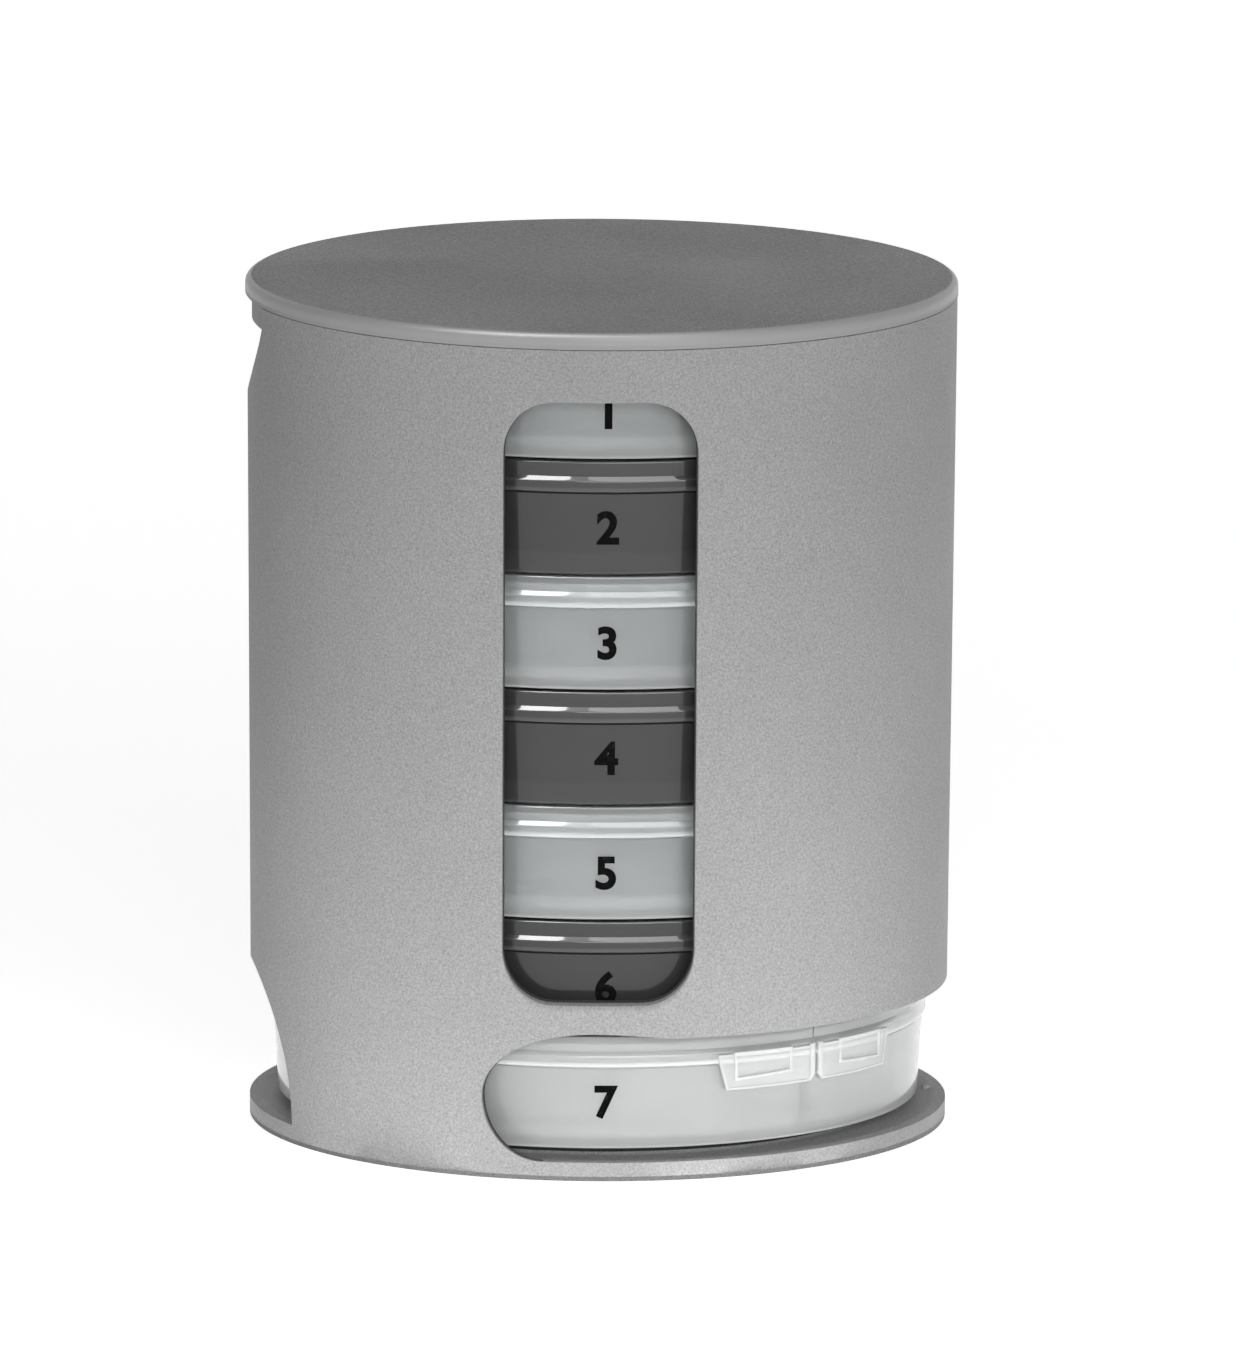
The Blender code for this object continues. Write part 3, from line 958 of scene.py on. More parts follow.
    def is_in_window(self, spot: Vector, arc_length: float) -> bool:
        """Tell whether a spot of the flat wall lies in the window's rectangle.

        Args:
            spot: The spot, with x as arc length from the exit's middle.
            arc_length: Arc length of one degree.

        Returns:
            Whether it does.
        """
        across = abs(spot.x / arc_length + self.exit_azimuth)
        low = self.window_low - self.sill - self.margin
        high = self.window_high + self.margin
        return across < self.window_half + self.margin_angle and low < spot.z < high

    def shape_window(self, shape: BMesh, arc_length: float) -> None:
        """Round the window's sill outwards, and let its sides run nearly straight back.

        Args:
            shape: The flat wall.
            arc_length: Arc length of one degree.
        """
        for ring in range(1, self.sill_rings):
            depth = self.stack.wall * (1 - math.cos(math.pi / 2 * ring / self.sill_rings))
            sliced(shape, (0.0, depth, 0.0), (0.0, 1.0, 0.0))
        self.mark_shade(shape, arc_length)
        middle = -self.exit_azimuth * arc_length
        for corner in shape.verts:
            if not self.is_in_window(corner.co, arc_length):
                continue
            share = corner.co.y / self.stack.wall
            fade = max(0.0, 1 - (corner.co.z - self.window_low) / self.window_corner)
            corner.co.z -= self.sill * fade * (1 - math.sqrt(max(0.0, 1 - (1 - share) ** 2)))
            corner.co.x = middle + (corner.co.x - middle) * (1 + (self.window_pull - 1) * share)

    def mark_shade(self, shape: BMesh, arc_length: float) -> None:
        """Paint shade on the deeper parts of the window's and the slot's edges, with the darker copies of the
        case's plastic.

        Args:
            shape: The flat wall.
            arc_length: Arc length of one degree.
        """
        low = self.stack.curb + self.curb_margin
        for face in shape.faces:
            middle = face.calc_center_median()
            share = middle.y / self.stack.wall
            along = abs(middle.x / arc_length) < self.slot_half + self.margin_angle
            in_slot = along and low < middle.z < self.crest + WELD
            runs_back = abs(face.normal.y) < 0.5
            opening = in_slot or self.is_in_window(middle, arc_length)
            if runs_back and opening and share > self.dim_from:
                face.material_index = PAINTED_SHADE_SLOT if share > self.shaded_from else PAINTED_DIM_SLOT

    def build_wall(self) -> Object:
        """Build the wall flat, round its edges and bend it to a drum.

        Returns:
            The wall.
        """
        plate = CurvedPlate(
            middle=self.exit_azimuth,
            outline=self.wall_outline(),
            holes=(self.window(), self.exit_slot()),
            thickness=self.stack.wall,
            radius=self.outer(0.0),
        )
        shape = plate.flat()
        self.shape_window(shape, plate.arc_length)
        end = self.seam * plate.arc_length

        def at_window(edge: BMEdge) -> bool:
            """Whether an edge belongs to the window."""
            return all(self.is_in_window(corner.co, plate.arc_length) for corner in edge.verts)

        def at_curb(edge: BMEdge) -> bool:
            """Whether an edge lies along the curb's top."""
            return all(
                abs(corner.co.z - self.stack.curb) < WELD and abs(corner.co.x) < end for corner in edge.verts
            )

        def at_others(edge: BMEdge) -> bool:
            """Whether an edge belongs to another opening, the rim or the foot."""
            open_edge = all(abs(corner.co.x) < end for corner in edge.verts)
            return open_edge and not at_window(edge) and not at_curb(edge)

        rounds = (
            (at_others, self.edge_round, self.edge_round * self.edge_inner_share, 3),
            (at_curb, self.curb_round, self.curb_inner_round, 5),
            (at_window, self.window_round, self.window_round, 3),
        )
        for keep, outer, inner, segments in rounds:
            plate.outer_round, plate.inner_round, plate.segments = outer, inner, segments
            plate.round_edges(shape, keep)
        caps = [face for face in shape.faces if all(abs(corner.co.x) > end for corner in face.verts)]
        bmesh.ops.delete(shape, geom=caps, context="FACES_ONLY")
        rabbet = self.stack.top - self.rabbet_depth
        for height in (rabbet, rabbet + self.rabbet_slope):
            sliced(shape, (0.0, 0.0, height), (0.0, 0.0, 1.0))

        def radius_at(height: float, depth: float) -> float:
            """Radius of the wall at a height and a share of its depth."""
            in_rabbet = height > rabbet + self.rabbet_slope / 3
            wall = self.rabbet_wall if in_rabbet else self.stack.wall
            return self.outer(height) - wall * depth

        wall = object_from(plate.bend(shape, radius_at), "case_wall")
        even_normals(wall)
        return wall

    def build_floor(self) -> Object:
        """Spin the floor with its platform and foot ring.

        Returns:
            The floor.
        """
        top = self.stack.curb + self.stack.platform
        inside = self.inner(0.0) + self.curb_inner_round
        foot = self.outer(0.0) - self.foot_width
        under = self.floor - self.floor_sheet
        side, corner, fillet = self.platform_radius, self.platform_round, self.platform_fillet
        profile = [(0.0, top)]
        profile += arc((side - corner, top - corner), (corner, corner), 90.0, 0.0, 4)
        profile += [(side, self.floor + fillet)]
        profile += arc((side + fillet, self.floor + fillet), (fillet, fillet), 180.0, 270.0, 4)[1:]
        for step in range(self.sweep_steps + 1):
            share = step / self.sweep_steps
            rise = (self.floor_drop - self.sweep_gap) * (1 - math.cos(math.pi * share)) / 2
            profile.append((inside - self.curb_sweep * (1 - share), self.floor + rise))
        profile += [
            (inside, self.foot_chamfer),
            (inside - self.foot_chamfer, 0.0),
            (foot + self.foot_round, 0.0),
            (foot, self.foot_round),
            (foot, under),
            (0.0, under),
        ]
        base = object_from(spun(profile), "case_floor")
        # Painted shadow: the platform's side, in the shade under the lowest tray, gets the darkest copy of the
        # plastic.
        for face in base.data.polygons:
            at_side = abs(face.center.xy.length - side) < self.margin
            if abs(face.normal.z) < 0.1 and self.floor < face.center.z and at_side:
                face.material_index = PAINTED_SHADE_SLOT
        return base

    def build_nub(self) -> Object:
        """Spin the low dome that stands on the floor beside the way out.

        Returns:
            The dome.
        """
        flare = self.nub_flare
        profile = [(0.0, self.nub_rise)]
        profile += arc((0.0, flare), (self.nub_radius - flare, self.nub_rise - flare), 90.0, 0.0, 8)[1:]
        profile += arc((self.nub_radius, flare), (flare, flare), 180.0, 270.0, 4)[1:]
        profile += [(self.nub_radius, -self.nub_sink), (0.0, -self.nub_sink)]
        shape = spun(profile, 32)
        place = around(self.stack.bore - self.nub_inset, self.exit_azimuth + self.nub_angle, self.floor)
        bmesh.ops.translate(shape, verts=shape.verts, vec=place)
        return object_from(shape, "case_nub")

    def build(self, face_and_painted_shades: CaseFaceAndPaintedShades) -> None:
        """Build and dress the case.

        Args:
            face_and_painted_shades: Its plastic, and the darker copies of it that paint shade.
        """
        wall = self.build_wall()
        for piece in (wall, self.build_floor(), self.build_nub()):
            shades = [face.material_index for face in piece.data.polygons]
            dress(piece, face_and_painted_shades.face, "case")
            piece.data.materials.append(face_and_painted_shades.dim)
            piece.data.materials.append(face_and_painted_shades.shaded)
            piece.data.polygons.foreach_set("material_index", shades)
        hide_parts("case")
        LOG.info("case: %d faces in the wall", len(wall.data.polygons))


@dataclass
class Lid:
    """The lid: a disc with a rounded rim over a skirt."""

    stack: Stack
    radius: float = 57.5 * MM
    rim: float = 2.5 * MM
    top_round: float = 1.2 * MM
    low_round: float = 0.15 * MM
    drop: float = 0.18 * MM
    sheet: float = 1.8 * MM
    skirt: float = 4.4 * MM
    skirt_radius: float = 56.4 * MM
    skirt_wall: float = 1.2 * MM
    lead: float = 0.3 * MM
    polish_depth: float = 2.0 * MM
    grain_depth: float = 0.02 * MM

    @property
    def top(self) -> float:
        """Height of the upper face."""
        return self.stack.top + self.stack.seat_gap + self.rim

    def finish(self) -> MouldedAbs:
        """The case's plastic, with a polished rim and specks on the upper face only."""
        face = self.top - self.grain_depth
        band = (self.top - self.polish_depth, face)
        return MouldedAbs(name="moulded_abs_lid", speckle=0.5, polished=band, plain_below=face)

    def build(self) -> None:
        """Spin and dress the lid."""
        top, lead = self.top, self.lead
        seat = self.stack.top + self.stack.seat_gap - self.drop
        inner = self.skirt_radius - self.skirt_wall
        corner, low = self.top_round, self.low_round
        profile = [(0.0, top)]
        profile += arc((self.radius - corner, top - corner), (corner, corner), 90.0, 0.0, 8)
        profile += arc((self.radius - low, seat + low), (low, low), 0.0, -90.0, 4)
        profile += [
            (self.skirt_radius, seat),
            (self.skirt_radius, seat - self.skirt + lead),
            (self.skirt_radius - lead, seat - self.skirt),
            (inner + lead, seat - self.skirt),
            (inner, seat - self.skirt + lead),
            (inner, top - self.sheet - lead),
            (inner - lead, top - self.sheet),
            (0.0, top - self.sheet),
        ]
        lid = object_from(spun(profile), "lid_moulding")
        dress(lid, self.finish().material(), "lid")
        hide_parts("lid")
        LOG.info("lid: %d faces", len(lid.data.polygons))


@dataclass
class TrayShapes:
    """The meshes that all seven trays share, made once in a tray's own frame."""

    stack: Stack
    top_radius: float = 53.2 * MM
    sheet: float = 1.2 * MM
    edge_round: float = 0.25 * MM
    shoulder: float = 2.4 * MM
    step: float = 0.5 * MM
    slope: float = 0.7 * MM
    ledge_round: float = 0.5 * MM
    rim_gap: float = 0.1 * MM
    foot_round: float = 0.3 * MM
    skirt: float = 4.9 * MM
    skirt_wall: float = 1.2 * MM
    cup_set_back: float = 0.55 * MM
    cup_draft: float = 0.8 * MM
    cup_lead: float = 0.25 * MM
    cup_round: float = 0.25 * MM
    wall: float = 1.2 * MM
    corner: float = 3.0 * MM
    floor_round: float = 2.6 * MM
    bar: float = 6.0 * MM
    hinge_gap: float = 0.3 * MM
    tab_radius: float = 53.45 * MM
    tab_ridge: float = 0.3 * MM
    tab_depth: float = 9.3 * MM
    tab_near: float = 0.3 * MM
    tab_far: float = 18.6 * MM
    tab_slant: float = 1.5 * MM
    tab_notch: float = 1.1 * MM
    tab_drop: float = 0.3 * MM
    tab_round: float = 0.15 * MM
    nick_inset: float = 0.4  # how far the nick's ends move with an inset, as a share of it
    frame_near: float = 5.1 * MM
    frame_far: float = 15.9 * MM
    frame_drop: float = 3.1 * MM
    frame_near_foot: float = 2.1 * MM
    frame_far_foot: float = 1.55 * MM
    frame_width: float = 0.5 * MM
    frame_lean: float = 0.2 * MM
    rib_inset: float = 0.1 * MM
    rib_foot: float = 0.25 * MM
    rib_width: float = 1.0 * MM
    relief_round: float = 0.1 * MM
    border_inset: float = 0.02 * MM
    border_width: float = 0.45 * MM
    border_proud: float = 0.08 * MM
    cup: Mesh = field(init=False)
    bar_mesh: Mesh = field(init=False)
    flap: Mesh = field(init=False)
    tab: Mesh = field(init=False)
    relief: Mesh = field(init=False)

    def __post_init__(self) -> None:
        """Build the five meshes."""
        self.cup = self.taken(self.build_cup())
        self.bar_mesh = self.taken(self.build_bar())
        self.flap = self.taken(self.build_flap())
        self.tab = self.taken(self.build_tab())
        border, frame_plate, rib = self.tab_relief()
        self.relief = self.taken(worked(border, [frame_plate, rib], "UNION"))

    @staticmethod
    def taken(piece: Object) -> Mesh:
        """Keep a piece's mesh and remove its object."""
        mesh = piece.data
        bpy.data.objects.remove(piece, do_unlink=True)
        return mesh

    def cup_radius(self, height: float) -> float:
        """Outer radius of the cup at a height above its underside."""
        rim = self.top_radius - self.cup_set_back
        return rim - self.cup_draft * (1 - height / self.cup_rim)

    @property
    def cup_rim(self) -> float:
        """Height of the ledge that the flaps' skirts come down to."""
        return self.stack.tray_height - self.skirt - self.rim_gap

    def cup_profile(self) -> list[Point]:
        """Half section of the cup before it is hollowed out."""
        top = self.stack.tray_height - self.sheet - self.stack.seat_gap
        lip = self.top_radius - self.skirt_wall - self.stack.seat_gap
        rim = self.cup_radius(self.cup_rim)
        lead, corner = self.cup_lead, self.cup_round
        points = [
            (0.0, top),
            (lip - lead, top),
            (lip, top - lead),
            (lip, self.cup_rim),
            (rim - lead, self.cup_rim),
            (rim, self.cup_rim - lead),
        ]
        points += arc((self.cup_radius(0.0) - corner, corner), (corner, corner), 0.0, -90.0, 6)
        return points + [(0.0, 0.0)]

    def build_cup(self) -> Object:
        """Spin the cup and hollow out its four compartments.

        Returns:
            The cup.
        """
        cup = object_from(spun(self.cup_profile()), "cup")
        pockets = []
        for turn in range(4):
            shape = self.pocket()
            place = Matrix.Rotation(math.radians(90.0) * turn, 3, "Z")
            bmesh.ops.rotate(shape, verts=shape.verts, matrix=place)
            pockets.append(object_from(shape, "pocket"))
        return worked(cup, pockets, "DIFFERENCE")

    def pocket(self) -> BMesh:
        """One compartment as a solid, with rounded corners and a rounded floor.

        Returns:
            The solid.
        """
        half = self.wall / 2
        radius = self.cup_radius(0.0) - self.wall
        reach = math.sqrt(radius**2 - half**2)
        start = math.degrees(math.asin(half / radius))
        curve = arc((0.0, 0.0), (radius, radius), start, 90.0 - start, 36)
        outline = [(half, half), (reach, half)] + curve[1:-1] + [(half, reach)]
        shape = bmesh.new()
        corners = [shape.verts.new((across, along, self.wall)) for across, along in outline]
        ends = [corners[place].co.xy.copy() for place in (0, 1, -1)]
        grown = bmesh.ops.extrude_face_region(shape, geom=[shape.faces.new(corners)])
        raised = [item for item in grown["geom"] if isinstance(item, BMVert)]
        bmesh.ops.translate(shape, verts=raised, vec=(0.0, 0.0, self.stack.tray_height))
        bmesh.ops.recalc_face_normals(shape, faces=shape.faces)
        upright = [
            edge
            for edge in shape.edges
            if any(all((corner.co.xy - end).length < WELD for corner in edge.verts) for end in ends)
        ]
        rounded(shape, upright, self.corner, 6)
        floor = [edge for edge in shape.edges if all(corner.co.z < self.wall + WELD for corner in edge.verts)]
        rounded(shape, floor, self.floor_round, 4)
        bmesh.ops.recalc_face_normals(shape, faces=shape.faces)
        return shape

    def top_profile(self) -> list[Point]:
        """Half section of the tray's top: sheet, stepped shoulder and skirt."""
        height = self.stack.tray_height
        upper = self.top_radius - self.step
        inner = self.top_radius - self.skirt_wall
        ledge = height - self.shoulder
        foot = height - self.skirt
        hold = 0.1 * MM
        lean = math.atan2(self.step, self.slope)
        start = self.ledge_round * math.tan(lean / 2)
        points = [(0.0, height), (upper - self.edge_round - hold, height)]
        corner, toe = self.edge_round, self.foot_round
        points += arc((upper - corner, height - corner), (corner, corner), 90.0, 0.0, 6)
        points += [(upper, height - self.edge_round - hold), (upper, ledge + hold), (upper, ledge)]
        points += [(upper + share * self.step, ledge - share * self.slope) for share in (0.15, 0.6)]
        points += arc(
            (self.top_radius - self.ledge_round, ledge - self.slope - start),
            (self.ledge_round,) * 2,
            math.degrees(lean),
            0.0,
            6,
        )
        points += [
            (self.top_radius, ledge - self.slope - start - hold),
            (self.top_radius, foot + toe + hold),
        ]
        points += arc((self.top_radius - toe, foot + toe), (toe, toe), 0.0, -90.0, 4)
        points += [
            (inner + hold, foot),
            (inner, foot + hold),
            (inner, height - self.sheet),
            (0.0, height - self.sheet),
        ]
        return points

    def build_bar(self) -> Object:
        """Trim the tray's top to the bar that stays.

        Returns:
            The bar.
        """
        half = self.bar / 2
        planes = [((0.0, side * half, 0.0), (0.0, side, 0.0)) for side in (1.0, -1.0)]
        return object_from(trimmed(spun(self.top_profile()), planes), "bar")

    def tab_outline(self, radius: float, inset: float = 0.0) -> list[Point]:
        """Outline of the pull tab as degrees and heights: slanted at its far side, nicked at the split.

        Args:
            radius: Radius that the arc lengths are measured at.
            inset: How far the outline stays inside the tab's edge.

        Returns:
            The outline.
        """
        top = self.stack.tray_height - self.shoulder - self.slope - self.tab_drop - inset
        foot = self.stack.tray_height - self.tab_depth + inset
        near = self.tab_near + inset
        nick = self.tab_notch - self.nick_inset * inset
        outline = [
            (near, top),
            (self.tab_far - inset, top),
            (self.tab_far - self.tab_slant - inset, foot),
            (near + nick, foot),
            (near, foot + nick),
        ]
        return [(along / math.radians(radius), up) for along, up in outline]

    def tab_relief(self) -> list[Object]:
        """Build what stands proud of the pull tab's face.

        Returns:
            A low border along its edge, a narrow frame, and a rib at the split.
        """
        outside = self.tab_radius + self.tab_ridge
        degree = math.radians(outside)
        height = self.stack.tray_height
        foot = height - self.tab_depth
        loops = []
        for inset in (0.0, self.frame_width):
            loop = [
                (self.frame_near + inset, height - self.frame_drop - inset),
                (self.frame_far - inset, height - self.frame_drop - inset),
                (self.frame_far - self.frame_lean - inset, foot + self.frame_far_foot + inset),
                (self.frame_near + inset, foot + self.frame_near_foot + inset),
            ]
            loops.append([(along / degree, up) for along, up in loop])
        rib_near = (self.tab_near + self.rib_inset) / degree
        rib_far = (self.tab_near + self.rib_width) / degree
        rib = [
            (rib_near, height - self.frame_drop),
            (rib_far, height - self.frame_drop),
            (rib_far, foot + self.rib_foot),
            (rib_near, foot + self.tab_notch),
        ]
        low = self.tab_radius + self.border_proud
        edge, inside = (self.tab_outline(low, inset) for inset in (self.border_inset, self.border_width))
        plates = (
            ("border", edge, (inside,), low),
            ("frame", loops[0], (loops[1],), outside),
            ("rib", rib, (), outside),
        )
        made = []
        for name, outline, holes, radius in plates:
            depth = 2 * (radius - self.tab_radius)
            plate = CurvedPlate(
                middle=0.0,
                outline=outline,
                holes=holes,
                thickness=depth,
                radius=radius,
                outer_round=min(self.relief_round, depth / 4),
                segments=2,
            )
            shape = plate.flat()
            plate.round_edges(shape, lambda edge: True)
            shape = plate.bend(shape, lambda height, share: radius - depth * share)
            made.append(object_from(shape, name))
        return made

    def build_tab(self) -> Object:
        """Build the pull tab: a plate that slants on its far side and is nicked at the split.

        Returns:
            The tab.
        """
        outline = self.tab_outline(self.tab_radius)
        back = self.cup_radius(self.cup_rim) + self.cup_set_back / 2
        plate = CurvedPlate(
            middle=0.0,
            outline=outline,
            thickness=self.tab_radius - back,
            radius=self.tab_radius,
            outer_round=self.tab_round,
        )
        shape = plate.flat()
        plate.round_edges(shape, lambda edge: True)
        shape = plate.bend(shape, lambda height, depth: self.tab_radius + (back - self.tab_radius) * depth)
        return object_from(shape, "tab")

    def build_flap(self) -> Object:
        """Trim the tray's top to one flap.

        Returns:
            The flap on the right of the split.
        """
        edge = self.bar / 2 + self.hinge_gap
        split = self.stack.seat_gap / 2
        planes = [((0.0, -edge, 0.0), (0.0, 1.0, 0.0)), ((split, 0.0, 0.0), (-1.0, 0.0, 0.0))]
        return object_from(trimmed(spun(self.top_profile()), planes), "flap")


@dataclass
class DayNumber:
    """The plain number printed on the front of a tray."""

    shapes: TrayShapes
    azimuth: float = 1.3
    cap_height: float = 5.5 * MM
    foot: float = 4.9 * MM
    film: float = 0.03 * MM
    boldness: float = 0.034
    cap_share: float = 0.73
    slice_width: float = 0.5 * MM
    slices: int = 8

    def build(self, day: Day, level: float) -> Object:
        """Shape a digit and lay it on the cup's wall.

        Args:
            day: The tray's day.
            level: Height of the tray's underside.

        Returns:
            The printed number.
        """
        curve = bpy.data.curves.new("digit", "FONT")
        curve.body = day.value
        curve.align_x = "CENTER"
        curve.size = self.cap_height / self.cap_share
        curve.offset = curve.size * self.boldness
        curve.extrude = self.film / 2
        curve.resolution_u = 6
        writer = linked("digit", curve)
        mesh = evaluated_mesh(writer)
        bpy.data.objects.remove(writer, do_unlink=True)
        shape = bmesh.new()
        shape.from_mesh(mesh)
        bmesh.ops.remove_doubles(shape, verts=shape.verts, dist=WELD)
        low = min(corner.co.y for corner in shape.verts)
        high = max(corner.co.y for corner in shape.verts)
        grow = self.cap_height / (high - low)
        for step in range(-self.slices, self.slices + 1):
            sliced(shape, (step * self.slice_width, 0.0, 0.0), (1.0, 0.0, 0.0))
        for corner in shape.verts:
            height = self.foot + (corner.co.y - low) * grow
            surface = self.shapes.cup_radius(height)
            radius = surface + corner.co.z + self.film / 2
            azimuth = self.azimuth + math.degrees(corner.co.x * grow / surface)
            corner.co = around(radius, azimuth, level + height)
        bmesh.ops.recalc_face_normals(shape, faces=shape.faces)
        return object_from(shape, f"number_{day.word}")


@dataclass
class TrayPlastics:
    """Finishes of a tray: its thin walls, its pull tabs over the cup, and what stands proud of them."""

    slot: str
    body: Material
    tab: Material
    # On clear trays a whiter copy of the plastic, a painted highlight on the relief's edges.
    relief: Material


@dataclass
class DayTray:
    """One tray: a cup, its hinge bar, four flaps and a printed number."""

    day: Day
    shapes: TrayShapes
    azimuth: float = 41.0

    def build(self, plastics: TrayPlastics, ink: Material) -> None:
        """Place copies of the shared meshes and dress them.

        Args:
            plastics: Finishes of the tray.
            ink: Finish of the number.
        """
        word = self.day.word
        level = self.shapes.stack.level(self.day)
        place = Matrix.Translation((0.0, 0.0, level)) @ Matrix.Rotation(math.radians(self.azimuth), 4, "Z")
        cup = placed_copy(self.shapes.cup, f"cup_{word}", place)
        dress(cup, plastics.body, f"tray_{word}")
        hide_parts(f"tray_{word}")
        bar = placed_copy(self.shapes.bar_mesh, f"bar_{word}", place)
        dress(bar, plastics.body, f"tray_{word}")
        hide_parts(f"hinge_bar_{word}")
        number = DayNumber(self.shapes).build(self.day, level)
        dress(number, ink, f"tray_{word}")
        for dose in Dose:
            side, turn = dose.value
            turned = place @ Matrix.Rotation(math.radians(turn), 4, "Z")
            spot = turned @ Matrix.Scale(side, 4, (1.0, 0.0, 0.0))
            name = f"flap_{word}_{dose.word}"
            flap = placed_copy(self.shapes.flap, f"{name}_moulding", spot, side < 0)
            dress(flap, plastics.body, name)
            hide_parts(name)
            for part, mesh, finish in (
                ("tab", self.shapes.tab, plastics.tab),
                ("relief", self.shapes.relief, plastics.relief),
            ):
                detail = placed_copy(mesh, f"{name}_{part}", spot, side < 0)
                dress(detail, finish, name)
        LOG.info("tray %s: %d faces in the cup", word, len(cup.data.polygons))


@dataclass
class Viewpoint:
    """The camera, at the place and angle that the view was taken from."""

    place: tuple[float, float, float] = (0.0, -3.4118, 0.7009)
    target: tuple[float, float, float] = (0.00304, 0.0, 0.07204)
    roll: float = 0.3113
    lens: float = 572.9
    sensor: float = 36.0
    near: float = 0.1
    far: float = 50.0

    def build(self) -> None:
        """Add the camera and make it the scene's."""
        data = bpy.data.cameras.new("camera")
        data.lens = self.lens
        data.sensor_width = self.sensor
        data.clip_start, data.clip_end = self.near, self.far
        forward = (Vector(self.target) - Vector(self.place)).normalized()
        right = forward.cross(Vector((0.0, 0.0, 1.0))).normalized()
        up = right.cross(forward)
        turn = math.radians(self.roll)
        across = right * math.cos(turn) + up * math.sin(turn)
        upward = up * math.cos(turn) - right * math.sin(turn)
        rotation = Matrix((across, upward, -forward)).transposed()
        camera = linked("camera", data)
        camera.matrix_world = Matrix.Translation(self.place) @ rotation.to_4x4()
        bpy.context.scene.camera = camera


class LampKind(Enum):
    """What a lamp is for: all light, only the matt light of a fill, or only glints on edges."""

    PLAIN = (True, True)
    FILL = (True, False)
    GLINT = (False, True)


@dataclass
class Lamp:
    """A soft box: a rectangle of light that looks at the drum's middle, or lies flat and looks up.

    Its place is given as seen from the drum's middle.
    """

    name: str
    azimuth: float
    elevation: float
    distance: float
    width: float
    height: float
    power: float
    kind: LampKind = LampKind.PLAIN
    upwards: bool = False
    middle: float = 70 * MM

    def build(self) -> None:
        """Add the lamp."""
        data = bpy.data.lights.new(self.name, "AREA")
        data.shape = "RECTANGLE"
        data.size = self.width
        data.size_y = self.height
        data.energy = self.power
        lamp = linked(self.name, data)
        rise = math.radians(self.elevation)
        above = self.distance * math.sin(rise)
        place = around(self.distance * math.cos(rise), self.azimuth, self.middle + above)
        aim = Vector((0.0, 0.0, 1.0)) if self.upwards else Vector((0.0, 0.0, self.middle)) - place
        lamp.rotation_euler = aim.to_track_quat("-Z", "Y").to_euler()
        lamp.location = place
        lamp.visible_camera = False
        lamp.visible_diffuse, lamp.visible_glossy = self.kind.value


def foot_glows() -> list[Lamp]:
    """Small patches of light on the table, where it would throw light back at the drum's foot."""
    spots = (("a", -50.0, 0.0004), ("b", -34.0, 0.0007), ("c", 22.0, 0.0007), ("d", 40.0, 0.0007))
    return [
        Lamp(f"foot_glow_{mark}", azimuth, -47.95, 0.0933, 0.028, 0.014, power, LampKind.FILL, upwards=True)
        for mark, azimuth, power in spots
    ]


@dataclass
class Studio:
    """Plain paper floor, plain soft light and a white surround."""

    floor_size: float = 6.0
    ambient: float = 0.09
    lamps: tuple[Lamp, ...] = (  # name, azimuth, elevation, distance, width, height and power
        Lamp("key", 11.0, 16.0, 2.4, 1.6, 0.9, 27.0),
        Lamp("front_glow", -8.0, -30.2, 0.1377, 0.34, 0.13, 0.16, LampKind.FILL, upwards=True),
        Lamp("left_glow", -72.0, -29.0, 0.143, 0.16, 0.13, 0.045, LampKind.FILL, upwards=True),
        Lamp("right_glow", 72.0, -30.2, 0.1377, 0.16, 0.13, 0.045, LampKind.FILL, upwards=True),
        *foot_glows(),
        Lamp("back_left", -168.0, 0.5, 2.0, 1.2, 0.2, 17.0, LampKind.FILL),
        Lamp("back_right", 150.0, 0.5, 2.0, 1.2, 0.2, 14.0, LampKind.FILL),
        Lamp("left_glint", -40.0, 60.0, 2.0, 0.85, 1.45, 68.0, LampKind.GLINT),
        Lamp("right_glint", 20.0, 60.0, 2.0, 0.9, 1.45, 18.0, LampKind.GLINT),
    )

    def build(self) -> None:
        """Add the floor, the world and the lamps."""
        shape = bmesh.new()
        bmesh.ops.create_grid(shape, x_segments=2, y_segments=2, size=self.floor_size / 2)
        floor = object_from(shape, "paper_floor")
        floor.data.materials.append(StudioPaper().material())
        world = bpy.data.worlds.new("surround")
        world.use_nodes = True
        tree = world.node_tree
        tree.nodes.clear()
        dim, full = (
            add_node(tree, "ShaderNodeBackground", {"Color": srgb("#FFFFFF"), "Strength": strength}, {})
            for strength in (self.ambient, 1.0)
        )
        links = {"Fac": seen_directly(tree), 1: dim.outputs["Background"], 2: full.outputs["Background"]}
        mix = add_node(tree, "ShaderNodeMixShader", {}, links)
        add_node(tree, "ShaderNodeOutputWorld", {}, {"Surface": mix.outputs["Shader"]})
        bpy.context.scene.world = world
        for lamp in self.lamps:
            lamp.build()
        bpy.context.scene.view_settings.view_transform = "Standard"


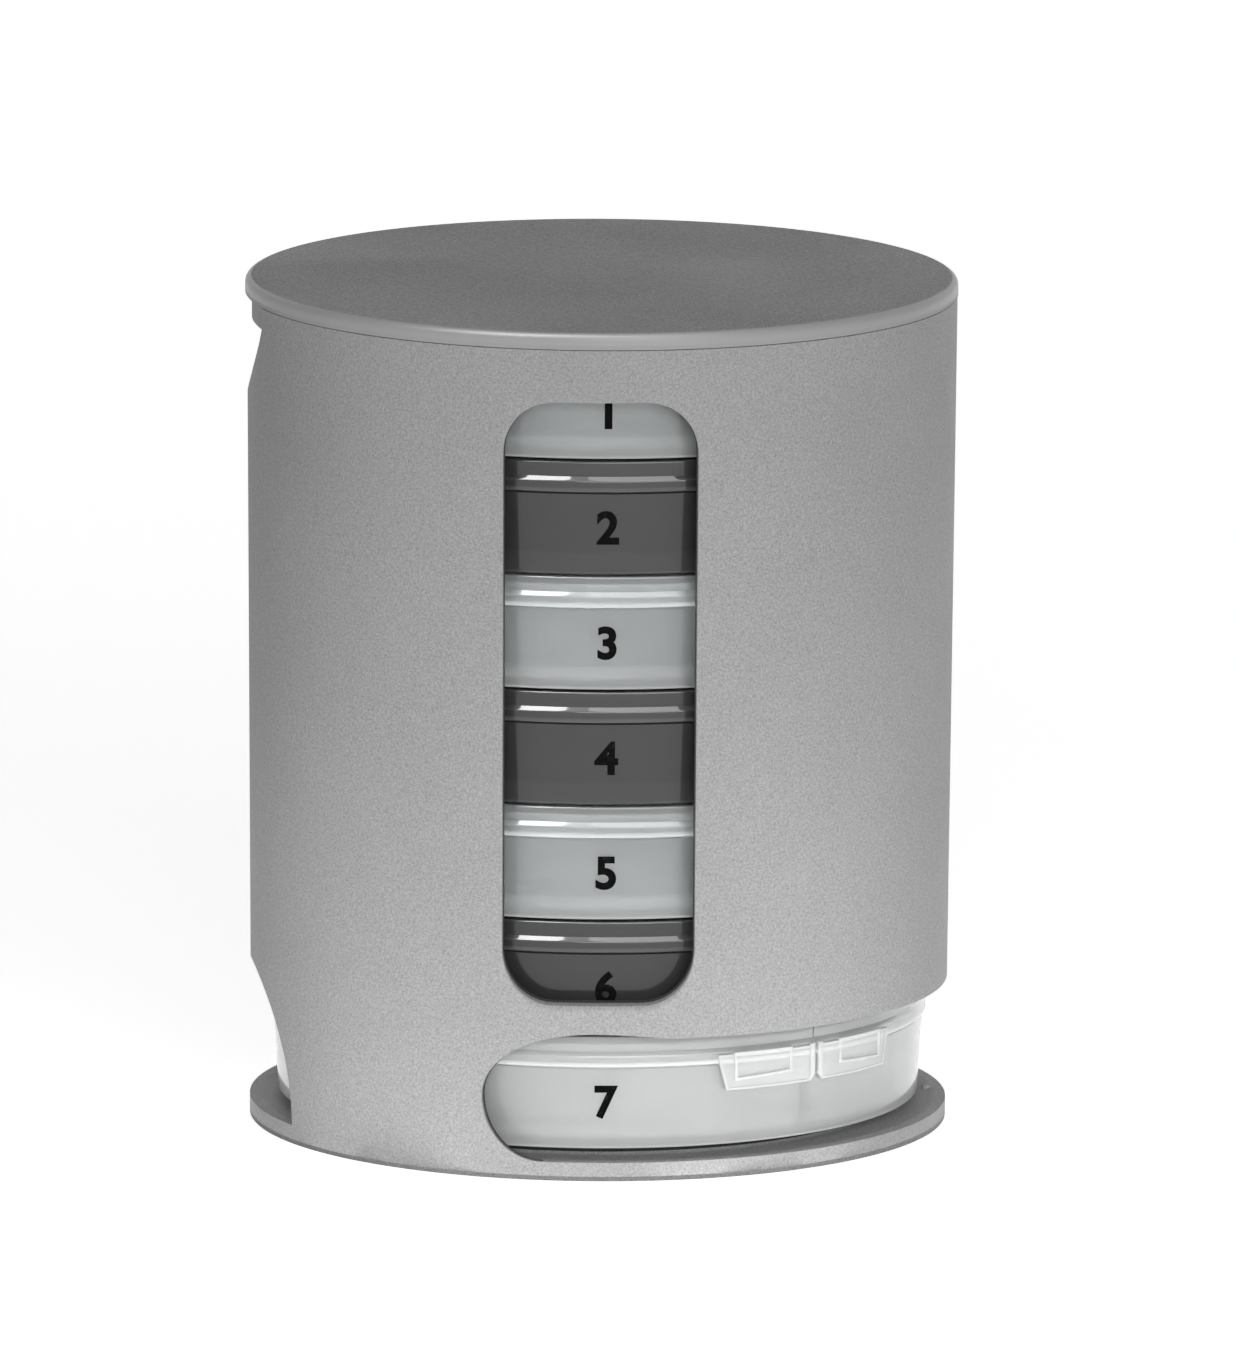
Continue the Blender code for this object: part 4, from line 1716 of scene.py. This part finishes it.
def main() -> None:
    """Build the organizer in its studio."""
    logging.basicConfig(level=logging.INFO, format="%(name)s: %(message)s")
    Viewpoint().build()
    Studio().build()
    stack = Stack()
    # Darker copies of the case's plastic: painted shade on the deep edges of openings and on the platform's
    # side.
    dim = MouldedAbs(name="moulded_abs_painted_dim_shade", colour="#8A8A8A", shade="#828282")
    shaded = MouldedAbs(name="moulded_abs_painted_shade", colour="#454545", shade="#404040")
    greys = (finish.material() for finish in (MouldedAbs(), dim, shaded))
    Case(stack).build(CaseFaceAndPaintedShades(*greys))
    Lid(stack).build()
    # The last colour and clarity stand for thicker plastic and for the painted highlight bands.
    clear = MouldedPolypropylene("clear_polypropylene", "#DFE3E3", 0.72, 0.3, "#F2F4F4", 0.0, stack)
    # Painted light: the lowest tray, out in the light, gets a lighter and less clear copy of the clear
    # plastic.
    clear_painted_lit_exit = replace(clear, name="clear_polypropylene_exit", colour="#EEF0F0", clarity=0.62)
    clear_tab = replace(clear, name="clear_polypropylene_tab", colour="#F2F4F4", clarity=0.38)
    # Painted highlight: the relief on the tabs gets a whiter, nearly opaque copy, so that its edges read
    # white.
    clear_relief_painted_highlight = replace(clear, name="clear_polypropylene_relief", colour="#F6F6F6", clarity=0.15)
    clear_films = (finish.material() for finish in (clear, clear_tab, clear_relief_painted_highlight))
    clear_plastics = TrayPlastics("clear_polypropylene", *clear_films)
    exit_painted_lit_plastics = replace(clear_plastics, body=clear_painted_lit_exit.material())
    # Its last colour and clarity also paint the highlight bands.
    smoky = MouldedPolypropylene("smoky_polypropylene", "#3A3A3B", 0.3, 0.2, "#646465", 0.2, stack)
    smoky_plastics = TrayPlastics("smoky_polypropylene", *[smoky.material()] * 3)
    ink = PrintedInk().material()
    shapes = TrayShapes(stack)
    for day in Day:
        plastics = smoky_plastics if day in (Day.MON, Day.WED, Day.FRI) else clear_plastics
        if day is Day.SAT:
            plastics = exit_painted_lit_plastics
        DayTray(day, shapes).build(plastics, ink)
    for mesh in (shapes.cup, shapes.bar_mesh, shapes.flap, shapes.tab, shapes.relief):
        bpy.data.meshes.remove(mesh)


if __name__ == "__main__":
    main()
